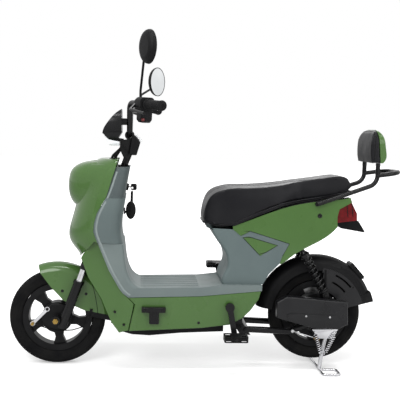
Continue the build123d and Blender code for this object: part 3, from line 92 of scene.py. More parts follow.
# %% [markdown]
# ## Floor and light
# A pale floor runs to the horizon, and the world behind it is white to the camera and to reflections.
# Three large soft lamps stand where a studio puts them: a key in front, a fill and one behind. A long narrow
# lamp overhead draws the thin bright streaks that a glossy panel shows along its shoulders.
#
# Materials and the world are trees of nodes. One helper makes a node, and the other links outputs to inputs.


# %% Helpers for node trees
def node(tree, kind, values=(), **settings):
    """A new node with its settings and the values of its sockets."""
    made = tree.nodes.new("ShaderNode" + kind)
    for key, value in settings.items():
        setattr(made, key, value)
    for socket, value in dict(values).items():
        made.inputs[socket].default_value = value
    return made


def wire(tree, *links):
    """Each link names a node, its output, another node and that one's input."""
    for source, output, target, socket in links:
        tree.links.new(source.outputs[output], target.inputs[socket])


# %% [markdown]
# The floor is plain diffuse paper with a glow that only the camera sees. The glow grows with the distance, so
# the paper runs into the white background without a horizon, and a shadow still shows below the scooter.

# %% Floor
PAPER = (0.78, 0.78, 0.78, 1)
GLOW = {"From Min": 0.7, "From Max": 2.4, "To Min": 0.36, "To Max": 1.0}  # metres away, then strength
bpy.ops.object.select_all(action="DESELECT")
bpy.ops.mesh.primitive_plane_add(size=40)
floor = bpy.context.object
floor.name = "studio_floor"
paper = bpy.data.materials.new("studio_paper")
paper.use_nodes = True
t = paper.node_tree
t.nodes.clear()
surface = node(t, "OutputMaterial")
total = node(t, "AddShader")
diffuse = node(t, "BsdfDiffuse", {"Color": PAPER})
glow = node(t, "Emission", {"Strength": 0.0})
rays = node(t, "LightPath")
place = node(t, "TexCoord")
far = node(t, "VectorMath", operation="LENGTH")
span = node(t, "MapRange", GLOW)
share = node(t, "Math", operation="MULTIPLY")
wire(t, (place, "Object", far, 0), (far, "Value", span, "Value"), (rays, "Is Camera Ray", share, 0),
     (span, "Result", share, 1), (share, 0, glow, "Strength"), (diffuse, 0, total, 0), (glow, 0, total, 1),
     (total, 0, surface, "Surface"))
floor.data.materials.append(paper)

# %% [markdown]
# The world has two backgrounds. Rays that end in the picture, straight, by a mirror or through glass, see
# plain white. All other rays find a dimmer white, which is the soft light from around.

# %% World
WHITE, AMBIENT, SEEN = (1, 1, 1, 1), 0.62, 1.0
world = bpy.data.worlds.new("studio")
bpy.context.scene.world = world
world.use_nodes = True
t = world.node_tree
t.nodes.clear()
surface = node(t, "OutputWorld")
mixed = node(t, "MixShader")
around = node(t, "Background", {"Color": WHITE, "Strength": AMBIENT})
seen = node(t, "Background", {"Color": WHITE, "Strength": SEEN})
rays = node(t, "LightPath")
first = node(t, "Math", operation="MAXIMUM")
either = node(t, "Math", operation="MAXIMUM")
wire(t, (rays, "Is Camera Ray", first, 0), (rays, "Is Transmission Ray", first, 1), (first, 0, either, 0),
     (rays, "Is Glossy Ray", either, 1), (either, 0, mixed, 0), (around, 0, mixed, 1), (seen, 0, mixed, 2),
     (mixed, 0, surface, "Surface"))
bpy.context.scene.view_settings.view_transform = "Standard"

# %% Lamps
LAMPS = (  # name, place, what it looks at, length, breadth, power
    ("key", (1.6, 2.6, 2.6), (0.1, 0, 0.5), 1.8, 1.8, 62),
    ("fill", (-2.2, 2.2, 1.6), (-0.2, 0, 0.5), 2.2, 2.2, 26),
    ("back", (-0.8, -2.6, 2.8), (0, 0, 0.6), 2.4, 2.4, 40),
    ("strip", (0.0, 0.9, 3.1), (0, 0, 0.5), 3.0, 0.22, 34),
)
for name, place, aim, length, breadth, power in LAMPS:
    lamp = bpy.data.lights.new(name, "AREA")
    lamp.shape = "ELLIPSE"
    lamp.size = length
    lamp.size_y = breadth
    lamp.energy = power
    holder = bpy.data.objects.new(name, lamp)
    bpy.context.collection.objects.link(holder)
    holder.location = place
    holder.rotation_euler = (Vector(aim) - Vector(place)).to_track_quat("-Z", "Y").to_euler()
print("lamps:", len(LAMPS))

# %% [markdown]
# ## Finishes
# Every finish starts from the same three parts: a Principled shader, the object's own coordinates, and a
# noise that varies something. What varies is what the real surface shows, such as the grain of a mould
# on grey plastic or the fine ripple of a glossy moulding.


# %% Helpers for finishes
def shader(name, colour, roughness, metallic=0.0, specular=0.5):
    """A material with one Principled shader. Returns it, its node tree and the shader."""
    made = bpy.data.materials.new(name)
    made.use_nodes = True
    tree = made.node_tree
    skin = tree.nodes["Principled BSDF"]
    skin.inputs["Base Color"].default_value = (*colour, 1)
    skin.inputs["Roughness"].default_value = roughness
    skin.inputs["Metallic"].default_value = metallic
    skin.inputs["Specular IOR Level"].default_value = specular
    return made, tree, skin


def noise(tree, scale, detail=4.0, stretch=(1, 1, 1)):
    """A noise on the object's own coordinates, so many waves to the metre."""
    place = node(tree, "TexCoord")
    shape = node(tree, "Mapping", {"Scale": stretch})
    made = node(tree, "TexNoise", {"Scale": scale, "Detail": detail})
    wire(tree, (place, "Object", shape, "Vector"), (shape, "Vector", made, "Vector"))
    return made


def cells(tree, scale):
    """Small cells, such as the grain pressed into a mould or into leatherette."""
    place = node(tree, "TexCoord")
    made = node(tree, "TexVoronoi", {"Scale": scale})
    wire(tree, (place, "Object", made, "Vector"))
    return made


# %% Helpers that vary a finish
def vary_colour(tree, skin, dark, light, scale):
    """The base colour wanders between two near shades."""
    cloud = noise(tree, scale, 5.0)
    ramp = node(tree, "ValToRGB")
    low, high = ramp.color_ramp.elements
    low.position, low.color = 0.35, (*dark, 1)
    high.position, high.color = 0.65, (*light, 1)
    wire(tree, (cloud, "Fac", ramp, "Fac"), (ramp, "Color", skin, "Base Color"))
    return ramp


def vary_roughness(tree, skin, low, high, scale, stretch=(1, 1, 1)):
    """Handling and dust make some places duller than others."""
    cloud = noise(tree, scale, 3.0, stretch)
    span = node(tree, "MapRange", {"From Min": 0.3, "From Max": 0.7, "To Min": low, "To Max": high})
    wire(tree, (cloud, "Fac", span, "Value"), (span, "Result", skin, "Roughness"))


def emboss(tree, skin, source, output, strength, distance):
    """Turns a pattern into relief."""
    bump = node(tree, "Bump", {"Strength": strength, "Distance": distance})
    wire(tree, (source, output, bump, "Height"), (bump, "Normal", skin, "Normal"))


def coat(skin, weight, roughness=0.03):
    """A thin clear lacquer, which mirrors the lamps sharply."""
    skin.inputs["Coat Weight"].default_value = weight
    skin.inputs["Coat Roughness"].default_value = roughness


# %% [markdown]
# The green panels are moulded in colour and lacquered. Their relief is a slow ripple, which bends the lamps'
# reflections a little, as on a real moulding.

# %% Green panels: glossy coloured moulding
green_panel, t, s = shader("green_panel", (0.055, 0.122, 0.028), 0.3, specular=0.14)
vary_colour(t, s, (0.051, 0.115, 0.026), (0.059, 0.129, 0.031), 3.0)
vary_roughness(t, s, 0.24, 0.36, 9.0)
emboss(t, s, noise(t, 40.0, 2.0), "Fac", 0.03, 0.002)
coat(s, 0.55)

# %% [markdown]
# The grey mouldings have a grain from the mould, so they stay matt. The floor board is a lighter grey, which
# is painted light on its upward face. The inner shield's upper part is darker, which is painted shade, and a
# test of the height picks its shade.


# %% Grey mouldings: matt plastic with a fine grain
def grey(name, middle, dark, light):
    """A matt grey moulding. Returns it, its node tree, its shader and the ramp with its shades."""
    made, tree, skin = shader(name, middle, 0.5, specular=0.25)
    ramp = vary_colour(tree, skin, dark, light, 5.0)
    vary_roughness(tree, skin, 0.42, 0.56, 12.0)
    emboss(tree, skin, cells(tree, 900.0), "Distance", 0.12, 0.0006)
    return made, tree, skin, ramp


grey_moulding = grey("grey_moulding", (0.098, 0.128, 0.128), (0.090, 0.119, 0.120), (0.106, 0.138, 0.138))[0]
# The floor board's lighter grey is painted light: it stands in for the light falling on its upward face.
deck_moulding_painted_light = grey("deck_moulding_painted_light", (0.135, 0.165, 0.162), (0.125, 0.154, 0.152), (0.146, 0.177, 0.173))[0]

# %% The inner shield's two shades: painted shade on its upper part
PAINTED_SHADE_LINE = 0.687  # the darker upper part starts at this height
# Painted shade: the upper part's darker colour stands in for the shade that falls on it.
PAINTED_UPPER_SHADE = (0.066, 0.083, 0.085, 1)
painted_shade_moulding, t, s, lower_tone = grey("painted_shade_moulding", (0.098, 0.128, 0.128), (0.096, 0.124, 0.124),
                                         (0.112, 0.142, 0.141))
# Above the line, the base colour switches to the painted shade.
place = node(t, "TexCoord")
parts = node(t, "SeparateXYZ")
painted_shade_mask = node(t, "Math", operation="GREATER_THAN")
painted_shade_mask.inputs[1].default_value = PAINTED_SHADE_LINE
painted_shade_mix = node(t, "Mix", data_type="RGBA")
painted_shade_mix.inputs["B"].default_value = PAINTED_UPPER_SHADE
wire(t, (place, "Object", parts, 0), (parts, "Z", painted_shade_mask, 0), (painted_shade_mask, 0, painted_shade_mix, "Factor"),
     (lower_tone, "Color", painted_shade_mix, "A"), (painted_shade_mix, "Result", s, "Base Color"))

# %% Pale trim, whose paleness is a painted highlight
painted_highlight_trim, t, s = shader("painted_highlight_trim", (0.200, 0.235, 0.232), 0.4, specular=0.3)
vary_colour(t, s, (0.185, 0.220, 0.218), (0.215, 0.250, 0.246), 8.0)
vary_roughness(t, s, 0.34, 0.46, 16.0)

# %% [markdown]
# Black plastic, enamel, cast metal and rubber differ mostly in how dull they are and in their grain. Their
# colours are close to each other, and the low specular level keeps them black against the white surroundings.

# %% Black moulding, satin and grained
black_moulding, t, s = shader("black_moulding", (0.005, 0.005, 0.0055), 0.5, specular=0.12)
vary_colour(t, s, (0.004, 0.004, 0.0045), (0.007, 0.007, 0.0075), 7.0)
vary_roughness(t, s, 0.40, 0.58, 14.0)
emboss(t, s, cells(t, 1100.0), "Distance", 0.16, 0.0006)

# %% Black enamel on tubes, and gloss black covers
black_enamel, t, s = shader("black_enamel", (0.005, 0.005, 0.0055), 0.2, specular=0.22)
vary_roughness(t, s, 0.14, 0.3, 16.0)
vary_colour(t, s, (0.004, 0.004, 0.0045), (0.007, 0.007, 0.0075), 11.0)
emboss(t, s, noise(t, 180.0, 2.0), "Fac", 0.05, 0.001)

gloss_cover, t, s = shader("gloss_cover", (0.008, 0.008, 0.009), 0.3, specular=0.28)
vary_roughness(t, s, 0.24, 0.38, 10.0)
vary_colour(t, s, (0.006, 0.006, 0.007), (0.010, 0.010, 0.011), 8.0)
emboss(t, s, cells(t, 700.0), "Distance", 0.06, 0.0006)

# %% Cast wheels: satin black paint over a cast skin
cast_wheel, t, s = shader("cast_wheel", (0.005, 0.005, 0.0055), 0.38, specular=0.14)
vary_colour(t, s, (0.004, 0.004, 0.0045), (0.007, 0.007, 0.0075), 20.0)
vary_roughness(t, s, 0.30, 0.46, 30.0)
emboss(t, s, noise(t, 420.0, 4.0), "Fac", 0.12, 0.0008)

# %% Rubbers: tyre and grip
tyre_rubber, t, s = shader("tyre_rubber", (0.005, 0.005, 0.0055), 0.7, specular=0.08)
vary_colour(t, s, (0.0035, 0.0035, 0.004), (0.008, 0.0078, 0.0076), 18.0)
vary_roughness(t, s, 0.58, 0.82, 26.0)
emboss(t, s, noise(t, 600.0, 4.0), "Fac", 0.15, 0.0008)

grip_rubber, t, s = shader("grip_rubber", (0.007, 0.007, 0.0075), 0.62, specular=0.12)
vary_colour(t, s, (0.005, 0.005, 0.0055), (0.010, 0.010, 0.0105), 40.0)
vary_roughness(t, s, 0.52, 0.72, 50.0)
emboss(t, s, cells(t, 1500.0), "Distance", 0.2, 0.0005)

# %% Leatherette of the seat and the backrest
leatherette, t, s = shader("leatherette", (0.006, 0.006, 0.0075), 0.5, specular=0.16)
vary_colour(t, s, (0.005, 0.005, 0.0065), (0.008, 0.008, 0.0095), 9.0)
vary_roughness(t, s, 0.34, 0.46, 22.0)
emboss(t, s, cells(t, 520.0), "Distance", 0.22, 0.0006)

# %% [markdown]
# Metal has no colour under its reflection, so its Metallic value is 1 and its base colour tints the mirror
# image. A lens takes its colour from the plastic, and the instrument's cover lets the light through.

# %% Bright metal: chrome, zinc plate and brushed steel
chrome, t, s = shader("chrome", (0.62, 0.62, 0.64), 0.16, 1.0)
vary_roughness(t, s, 0.10, 0.26, 24.0)
vary_colour(t, s, (0.52, 0.52, 0.54), (0.70, 0.70, 0.72), 14.0)

bright_steel, t, s = shader("bright_steel", (0.48, 0.48, 0.49), 0.34, 1.0)
vary_roughness(t, s, 0.24, 0.44, 60.0, (1, 8, 1))
vary_colour(t, s, (0.40, 0.40, 0.41), (0.56, 0.56, 0.57), 30.0)

gold_zinc, t, s = shader("gold_zinc", (0.30, 0.20, 0.07), 0.36, 1.0)
vary_colour(t, s, (0.24, 0.18, 0.08), (0.36, 0.23, 0.06), 60.0)
vary_roughness(t, s, 0.28, 0.48, 80.0)

# %% Lenses and mirrors
red_lens, t, s = shader("red_lens", (0.12, 0.002, 0.004), 0.2, specular=0.2)
vary_colour(t, s, (0.09, 0.0015, 0.003), (0.15, 0.003, 0.005), 30.0)
vary_roughness(t, s, 0.12, 0.24, 30.0)
coat(s, 0.3)

clear_lens, t, s = shader("clear_lens", (0.80, 0.82, 0.84), 0.08)
vary_roughness(t, s, 0.05, 0.14, 40.0)
vary_colour(t, s, (0.74, 0.77, 0.80), (0.88, 0.89, 0.90), 60.0)
coat(s, 0.8)

clear_cover, t, s = shader("clear_cover", (0.92, 0.94, 0.95), 0.02)
vary_roughness(t, s, 0.01, 0.03, 30.0)
vary_colour(t, s, (0.90, 0.92, 0.93), (0.95, 0.96, 0.97), 20.0)
s.inputs["Transmission Weight"].default_value = 0.96
s.inputs["IOR"].default_value = 1.2

silvered, t, s = shader("silvered", (0.78, 0.80, 0.81), 0.04, 1.0)
vary_roughness(t, s, 0.02, 0.08, 14.0)
vary_colour(t, s, (0.74, 0.76, 0.77), (0.82, 0.84, 0.85), 9.0)

# %% [markdown]
# Each CAD node gets the finish of the real piece. A node has one material slot, so the finish goes there.

# %% Dress the CAD nodes
DRESS = (  # finish, nodes
    (green_panel, ("front_shield", "lower_fairing", "side_panels", "front_fender", "pillar_inserts",
                   "tail_panels", "backrest_shell")),
    (grey_moulding, ("seat_pillar",)),
    (deck_moulding_painted_light, ("floor_board",)),
    (painted_shade_moulding, ("inner_shield",)),
    (black_moulding, ("rear_fender", "hand_controls", "mirrors", "instrument_panel", "battery_pack",
                      "left_pedal", "right_pedal", "splash_guard", "under_tray", "footrests", "storage_bin",
                      "tail_bracket", "seat_base", "bag_hook", "ignition_key")),
    (black_enamel, ("fork_sliders", "fork_crown", "handlebar", "handlebar_stem", "brake_levers", "main_frame",
                    "swing_arm", "crankset", "grab_rail")),
    (gloss_cover, ("headlight_cowl", "swing_arm_covers")),
    (cast_wheel, ("front_rim", "rear_rim", "front_brake")),
    (chrome, ("fork_tubes", "center_stand", "stand_bracket", "brake_arm")),
    (grip_rubber, ("control_cables", "brake_cable")),
    (gold_zinc, ("front_axle", "rear_axle")),
    (red_lens, ("tail_light",)),
    (clear_lens, ("headlight_lens",)),
    (silvered, ("mirror_glass",)),
)
for finish, names in DRESS:
    for name in names:
        nodes[name].data.materials.clear()
        nodes[name].data.materials.append(finish)
print("dressed:", sum(len(names) for finish, names in DRESS))

# %% [markdown]
# ## The workbench
# An operator acts on everything that is selected, so each piece starts with an empty bench. The first helpers
# pick a piece up, open it with chosen faces selected, settle it, and join several pieces into one.


# %% Helpers for the bench
def clear_bench():
    """Leaves edit mode with nothing selected."""
    if bpy.context.mode != "OBJECT":
        bpy.ops.object.mode_set(mode="OBJECT")
    bpy.ops.object.select_all(action="DESELECT")


def on_bench(piece):
    """Selects this piece alone."""
    clear_bench()
    piece.select_set(True)
    bpy.context.view_layer.objects.active = piece


def open_faces(piece, wanted):
    """Opens the piece for editing, with those faces selected that the test wants."""
    on_bench(piece)
    bpy.ops.object.mode_set(mode="EDIT")
    bpy.ops.mesh.select_mode(type="FACE")
    bpy.ops.mesh.select_all(action="DESELECT")
    bpy.ops.object.mode_set(mode="OBJECT")
    for face in piece.data.polygons:
        face.select = wanted(face.center, face.normal)
    bpy.ops.object.mode_set(mode="EDIT")


def settle(piece):
    """Puts the piece's place, turn and scale into its mesh."""
    on_bench(piece)
    bpy.ops.object.transform_apply(location=True, rotation=True, scale=True)
    return piece


def joined(pieces):
    """Several meshes as one piece."""
    clear_bench()
    for piece in pieces:
        piece.select_set(True)
    bpy.context.view_layer.objects.active = pieces[0]
    if len(pieces) > 1:
        bpy.ops.object.join()
    return bpy.context.object


# %% [markdown]
# A modifier changes a shape by a rule, and applying it makes the change part of the mesh. After such a change
# the faces may have to be turned, so that their fronts look outward.


# %% Helpers that change a mesh
def modified(piece, kind, **settings):
    """Gives the piece a modifier, with its settings, and applies it."""
    modifier = piece.modifiers.new(kind.lower(), kind)
    for key, value in settings.items():
        setattr(modifier, key, value)
    on_bench(piece)
    bpy.ops.object.modifier_apply(modifier=modifier.name)


def outward(piece, close=False):
    """Turns all faces to look outward, and closes open rims first where that is wanted."""
    on_bench(piece)
    bpy.ops.object.mode_set(mode="EDIT")
    bpy.ops.mesh.select_all(action="SELECT")
    if close:
        bpy.ops.mesh.fill_holes(sides=0)
        bpy.ops.mesh.select_all(action="SELECT")
    bpy.ops.mesh.normals_make_consistent(inside=False)
    bpy.ops.object.mode_set(mode="OBJECT")


# %% [markdown]
# A finished piece is handed over to the frame: it gets its name, its finish and the body that carries it.
# Faces are shaded smooth across every edge that turns by less than the crease angle. A round bar has few
# sides, so it needs a wide angle.

# %% Handing a piece over
ROUND = 80  # degrees, the crease angle of round bars
SOFT = 60  # degrees, that of padded pieces and springs


def hand_over(piece, name, finish, body, stands_for=(), crease=35):
    """Names the piece, gives it its finish and lets it ride on a body of the frame, if one is named."""
    settle(piece)
    piece.name = name
    piece.data.name = name
    bpy.ops.object.shade_smooth_by_angle(angle=math.radians(crease))
    piece.data.materials.clear()
    piece.data.materials.append(finish)
    if body:
        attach(piece, body)
    if stands_for:
        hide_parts(*stands_for)
    print(name, len(piece.data.polygons), "faces on", body or "two bodies")
    return piece


# %% [markdown]
# Three more helpers make the common shapes: a profile turned as on a lathe, a wound wire, and a box with soft
# edges.


# %% Turning a profile
def turned(profile, base, axis, steps=36):
    """A round piece. Its profile, as (along, radius) in mm, is drawn by extruding a point, then spun."""
    clear_bench()
    bpy.ops.mesh.primitive_plane_add(size=0.01)
    piece = bpy.context.object
    bpy.ops.object.mode_set(mode="EDIT")
    bpy.ops.mesh.select_mode(type="VERT")
    bpy.ops.mesh.merge(type="CENTER")
    points = [Vector((radius, 0, along)) / 1000 for along, radius in profile]
    bpy.ops.transform.translate(value=points[0])
    for here, there in zip(points, points[1:]):
        bpy.ops.mesh.extrude_region_move(TRANSFORM_OT_translate={"value": there - here})
    bpy.ops.mesh.select_all(action="SELECT")
    bpy.ops.mesh.spin(steps=steps, angle=math.tau, center=(0, 0, 0), axis=(0, 0, 1))
    bpy.ops.mesh.select_all(action="SELECT")
    bpy.ops.mesh.remove_doubles(threshold=0.00001)
    bpy.ops.mesh.normals_make_consistent(inside=False)
    bpy.ops.object.mode_set(mode="OBJECT")
    piece.rotation_euler = Vector(axis).to_track_quat("Z", "Y").to_euler()
    piece.location = base
    return settle(piece)


# %% Winding a wire
def coil(start, end, radius, wire, turns, steps=20):
    """A round wire wound from start to end. A circle carries a Screw modifier, which winds it."""
    axis = Vector(end) - Vector(start)
    clear_bench()
    bpy.ops.mesh.primitive_circle_add(
        vertices=10, radius=wire, location=(radius, 0, 0), rotation=(math.pi / 2, 0, 0)
    )
    piece = settle(bpy.context.object)
    modified(piece, "SCREW", angle=math.tau, screw_offset=axis.length / turns, iterations=turns, steps=steps,
             render_steps=steps)
    outward(piece, close=True)
    piece.rotation_euler = axis.to_track_quat("Z", "Y").to_euler()
    piece.location = start
    return settle(piece)


# %% A box with soft edges
def rounded_box(size, centre, bevel, segments=3, turn=(0, 0, 0)):
    """A cube at its size, with its edges bevelled."""
    clear_bench()
    bpy.ops.mesh.primitive_cube_add(size=1, location=centre, rotation=turn)
    piece = bpy.context.object
    piece.scale = size
    settle(piece)
    modified(piece, "BEVEL", width=bevel, segments=segments)
    return piece


# %% [markdown]
# ## Tyres
# A scooter tyre has a round crown, a raised ring on each wall and grooves in the tread. The section could be
# bevelled along a circle, but a spun profile puts each ring at its true radius. The rain grooves are part of
# the profile, and the shoulder blocks come from faces pushed in afterwards.

# %% Tyres
TYRE_HALF = (  # out from the middle, radius: from the bead to the crown
    (20.0, 138.4), (23.5, 140.5), (26.5, 145.0), (27.4, 147.0), (27.2, 148.5), (28.9, 153.0), (30.4, 159.0),
    (31.0, 165.0), (30.6, 170.0), (31.0, 171.0), (30.8, 173.0), (29.9, 174.2), (28.4, 179.0), (25.8, 184.0),
    (23.0, 186.2), (18.5, 187.9), (14.0, 189.2), (10.4, 190.0), (10.0, 187.6), (7.6, 188.0), (7.2, 190.4),
    (3.6, 190.8),
)
TREAD_STEPS = 240
SLOT_EVERY, SLOT_STAGGER = 5, 2  # steps from slot to slot, and how far the right side lags
SLOT_DEPTH = 0.0026
SLOT_INNER, SLOT_BESIDE = 0.183, 0.0135  # a slot lies outside this radius and this far from the middle
TYRE_LOOP = list(TYRE_HALF) + [(-y, r) for y, r in reversed(TYRE_HALF)] + [TYRE_HALF[0]]


def tyre(name, axle, body):
    """A turned tyre whose shoulder slots are faces pushed in."""
    made = turned(TYRE_LOOP, axle, (0, 1, 0), TREAD_STEPS)

    def shoulder_slot(centre, normal):
        out = centre - axle
        step = int(math.degrees(math.atan2(out.z, out.x)) % 360 / (360 / TREAD_STEPS))
        stagger = 0 if out.y > 0 else SLOT_STAGGER
        on_shoulder = math.hypot(out.x, out.z) > SLOT_INNER and SLOT_BESIDE < abs(out.y)
        return on_shoulder and (step + stagger) % SLOT_EVERY == 0

    open_faces(made, shoulder_slot)
    bpy.ops.mesh.extrude_region_shrink_fatten(TRANSFORM_OT_shrink_fatten={"value": -SLOT_DEPTH})
    bpy.ops.object.mode_set(mode="OBJECT")
    return hand_over(made, name + "_tread", tyre_rubber, body, (name,))


front_tread = tyre("front_tyre", FRONT, "front_wheel")
tyre("rear_tyre", REAR, "rear_wheel")
reach = max(math.hypot(v.co.x - FRONT.x, v.co.z - FRONT.z) for v in front_tread.data.vertices)
print("front tyre radius", round(reach, 4))

# %% [markdown]
# ## Rear shock absorbers
# Each is a damper with an eye at both ends, and a coil spring between two collars. The spring is a circle
# with a Screw modifier, which winds it up the axis. The damper is turned, and the eyes are short tubes.

# %% Rear shocks
SHOCK_Y = 84
SHOCK_LOW, SHOCK_HIGH = (-26, 305), (85, 500)  # the eyes: ahead, height
SHOCK_BODY = (  # along from the lower eye, radius
    (8, 0), (8, 8), (16, 8.5), (17, 17.5), (19, 20.2), (24, 20.2), (26, 18), (28, 9), (104, 9), (106, 7),
    (150, 7), (151, 12.5), (178, 12.5), (180, 20.2), (191, 20.2), (194, 16), (204, 9.5), (213, 8.5), (216, 0),
)
COIL_FOOT, COIL_TOP = 0.027, 0.179  # along from the lower eye
COIL_R, COIL_WIRE, COIL_TURNS = 0.0170, 0.0034, 8
SHOCK_STEPS = 28
EYE = ((-8, 6.4), (-8, 12.4), (-7.4, 13), (7.4, 13), (8, 12.4), (8, 6.4), (-8, 6.4))
shocks = []
for side in (1, -1):
    low = ahead(*SHOCK_LOW, side * SHOCK_Y)
    high = ahead(*SHOCK_HIGH, side * SHOCK_Y)
    rise = (high - low).normalized()
    shocks.append(turned(SHOCK_BODY, low, rise, SHOCK_STEPS))
    shocks.append(coil(low + COIL_FOOT * rise, low + COIL_TOP * rise, COIL_R, COIL_WIRE, COIL_TURNS))
    for end in (low, high):
        shocks.append(turned(EYE, end, (0, 1, 0), SHOCK_STEPS))
hand_over(joined(shocks), "shock_springs", black_enamel, "frame", ("rear_shocks",))

# %% [markdown]
# ## Handlebar grips
# The rubber is moulded in rings with a collar at each end. A turned profile with many small steps gives the
# rings, and its axis is the bar's own, so the grip sits where the CAD tube is.

# %% Grips
SWEEP, BAR_BACK = 0.1180, 0.275  # the bar's end lies this far behind its bend, the bend behind the axle
BAR_END = Vector((-SWEEP + FRONT.x - BAR_BACK, 0.336, 1.034))
BAR_TURN = Vector((FRONT.x - BAR_BACK, 0.085, 1.050))
GRIP_RINGS, RING_FIRST, RING_PITCH = 13, -106, 7.4
grip_profile = [(-116, 11.4), (-117.6, 15), (-117.6, 19.6), (-116.6, 20.6), (-113.6, 20.6), (-112.4, 19.4),
                (-111, 16.2)]
for ring in range(GRIP_RINGS):
    at = RING_FIRST + ring * RING_PITCH
    grip_profile += [(at - 2.4, 16.0), (at - 1.6, 17.2), (at + 1.6, 17.2), (at + 2.4, 16.0)]
grip_profile += [(-8, 16.4), (-6, 18.4), (-1, 18.9), (2, 17.4), (3.2, 13), (3.2, 5.5), (1.6, 4.6), (1.6, 0)]


def on_side(place, side):
    """A place on the left side, or its mirror image on the right where side is -1."""
    return Vector((place.x, side * place.y, place.z))


grips = []
for side in (1, -1):
    end = on_side(BAR_END, side)
    grips.append(turned(grip_profile, end, end - on_side(BAR_TURN, side), 40))
hand_over(joined(grips), "ribbed_grips", grip_rubber, "steering", ("grips",))

# %% [markdown]
# ## Seat cushion
# The saddle is foam under a stretched cover. A subdivided block would stay too even, so the cushion is blown
# up a little with a cloth simulation: air pressure pushes the cover out, and the lower rim is held where it
# is stapled to the base plate. How far any point may move is capped, so the seat keeps its outline, and the
# moves are evened out between neighbours, because foam under a cover shows no creases.


# %% A copy of a CAD mesh
def fresh_copy(original, name):
    """A copy of a CAD mesh with its points welded, to be reshaped."""
    mesh = original.data.copy()
    copy = bpy.data.objects.new(name, mesh)
    bpy.context.collection.objects.link(copy)
    copy.matrix_world = original.matrix_world
    settle(copy)
    bpy.ops.object.mode_set(mode="EDIT")
    bpy.ops.mesh.select_all(action="SELECT")
    bpy.ops.mesh.remove_doubles(threshold=0.00005)
    bpy.ops.object.mode_set(mode="OBJECT")
    return copy


# %% [markdown]
# The copy needs an even net of small faces before it can act as cloth. A voxel Remesh gives that net, a
# Smooth takes its steps away, and a Displace sets the cover a hair inside the outline, so that it has room to
# rise.


# %% An even net of faces
def netted_copy(original, name, voxel, start):
    """A copy of a CAD pad as an even net, with its points moved along their normals by start."""
    pad = fresh_copy(original, name)
    modified(pad, "REMESH", mode="VOXEL", voxel_size=voxel)
    modified(pad, "SMOOTH", iterations=3, factor=0.5)
    modified(pad, "DISPLACE", mid_level=0, strength=start)
    return pad


# %% Air pressure under the cover
PRESSURE = 4.0
STRETCH = 18  # stiffness against pulling and pushing
CLOTH_FRAMES = 20


def blow_up(pad):
    """Runs the cloth simulation and keeps its last frame."""
    cloth = pad.modifiers.new("cover", "CLOTH")
    cloth.settings.quality = 5
    cloth.settings.mass = 0.3
    cloth.settings.tension_stiffness = STRETCH
    cloth.settings.compression_stiffness = STRETCH
    cloth.settings.bending_stiffness = 12
    cloth.settings.air_damping = 4
    cloth.settings.use_pressure = True
    cloth.settings.uniform_pressure_force = PRESSURE
    cloth.settings.vertex_group_mass = "held"
    cloth.settings.effector_weights.gravity = 0
    cloth.collision_settings.use_collision = False
    cloth.point_cache.frame_start = 1
    cloth.point_cache.frame_end = CLOTH_FRAMES
    for moment in range(1, CLOTH_FRAMES + 1):
        bpy.context.scene.frame_set(moment)
    on_bench(pad)
    bpy.ops.object.modifier_apply(modifier=cloth.name)
    bpy.context.scene.frame_set(1)


# %% Evening out the moves
CALM_ROUNDS = 24  # how often each point's move is evened out with its neighbours'


def calm_moves(pad, rest, cap):
    """Each point's move away from rest, capped, then evened out with its neighbours' moves."""
    steps = []
    for vertex, home in zip(pad.data.vertices, rest):
        step = vertex.co - home
        steps.append(step * min(1.0, cap / step.length) if step.length else step)
    fixed = {v.index for v in pad.data.vertices if v.groups}
    near = [[] for _ in steps]
    for edge in pad.data.edges:
        one, two = edge.vertices
        near[one].append(two)
        near[two].append(one)
    for _ in range(CALM_ROUNDS):
        calm = []
        for index, step in enumerate(steps):
            around = sum((steps[n] for n in near[index]), step.copy()) / (len(near[index]) + 1)
            calm.append(step if index in fixed else around)
        steps = calm
    return steps


# %% Blowing up a padded piece
def padded_copy(original, name, voxel, start, cap, held):
    """A soft copy of a CAD pad: start moves its points in or out, held tells which of them stay put."""
    pad = netted_copy(original, name, voxel, start)
    rest = [v.co.copy() for v in pad.data.vertices]
    pinned = pad.vertex_groups.new(name="held")
    pinned.add([v.index for v in pad.data.vertices if held(v.co, v.normal)], 1.0, "REPLACE")
    blow_up(pad)
    steps = calm_moves(pad, rest, cap)
    for vertex, home, step in zip(pad.data.vertices, rest, steps):
        vertex.co = home + step
    pad.vertex_groups.clear()
    modified(pad, "SUBSURF", levels=1, render_levels=1)
    print(name, "moved by up to", round(max(step.length for step in steps) * 1000, 1), "mm")
    return pad


# %% [markdown]
# Two lines describe the seat: how high its lower edge is and how wide it is, from front to rear. The cover is
# held along a band above that edge and on its underside.

# %% The seat's cover
SEAT_LOW = ((478, 586), (455, 586), (352, 589), (269, 628), (165, 667), (35, 688), (-101, 715), (-122, 719))
SEAT_PLAN = ((478, 62), (462, 90), (434, 108), (390, 116), (300, 117), (220, 114), (170, 103), (130, 87),
             (96, 75), (40, 72), (-60, 69), (-122, 60))
CUSHION_FOOT = 8.3  # the cushion starts this far above the seat's lowest line
HELD_BAND = 9  # height of the band that is stapled down


def along_line(line, a):
    """The value of a row of (ahead, value) pairs at one place."""
    for (here, one), (there, two) in zip(line, line[1:]):
        if there <= a <= here:
            return one + (two - one) * (here - a) / (here - there)
    return line[0][1] if a > line[0][0] else line[-1][1]


def on_seat_rim(place, normal):
    """Whether a point of the cover lies on its underside or in the stapled band."""
    a = (place.x - REAR.x) * 1000
    return normal.z < -0.55 or place.z * 1000 < along_line(SEAT_LOW, a) + CUSHION_FOOT + HELD_BAND


soft_seat = padded_copy(nodes["seat_cushion"], "seat_cover", 0.0046, -0.0005, 0.005, on_seat_rim)
hand_over(soft_seat, "seat_cover", leatherette, "seat", ("seat_cushion",), SOFT)


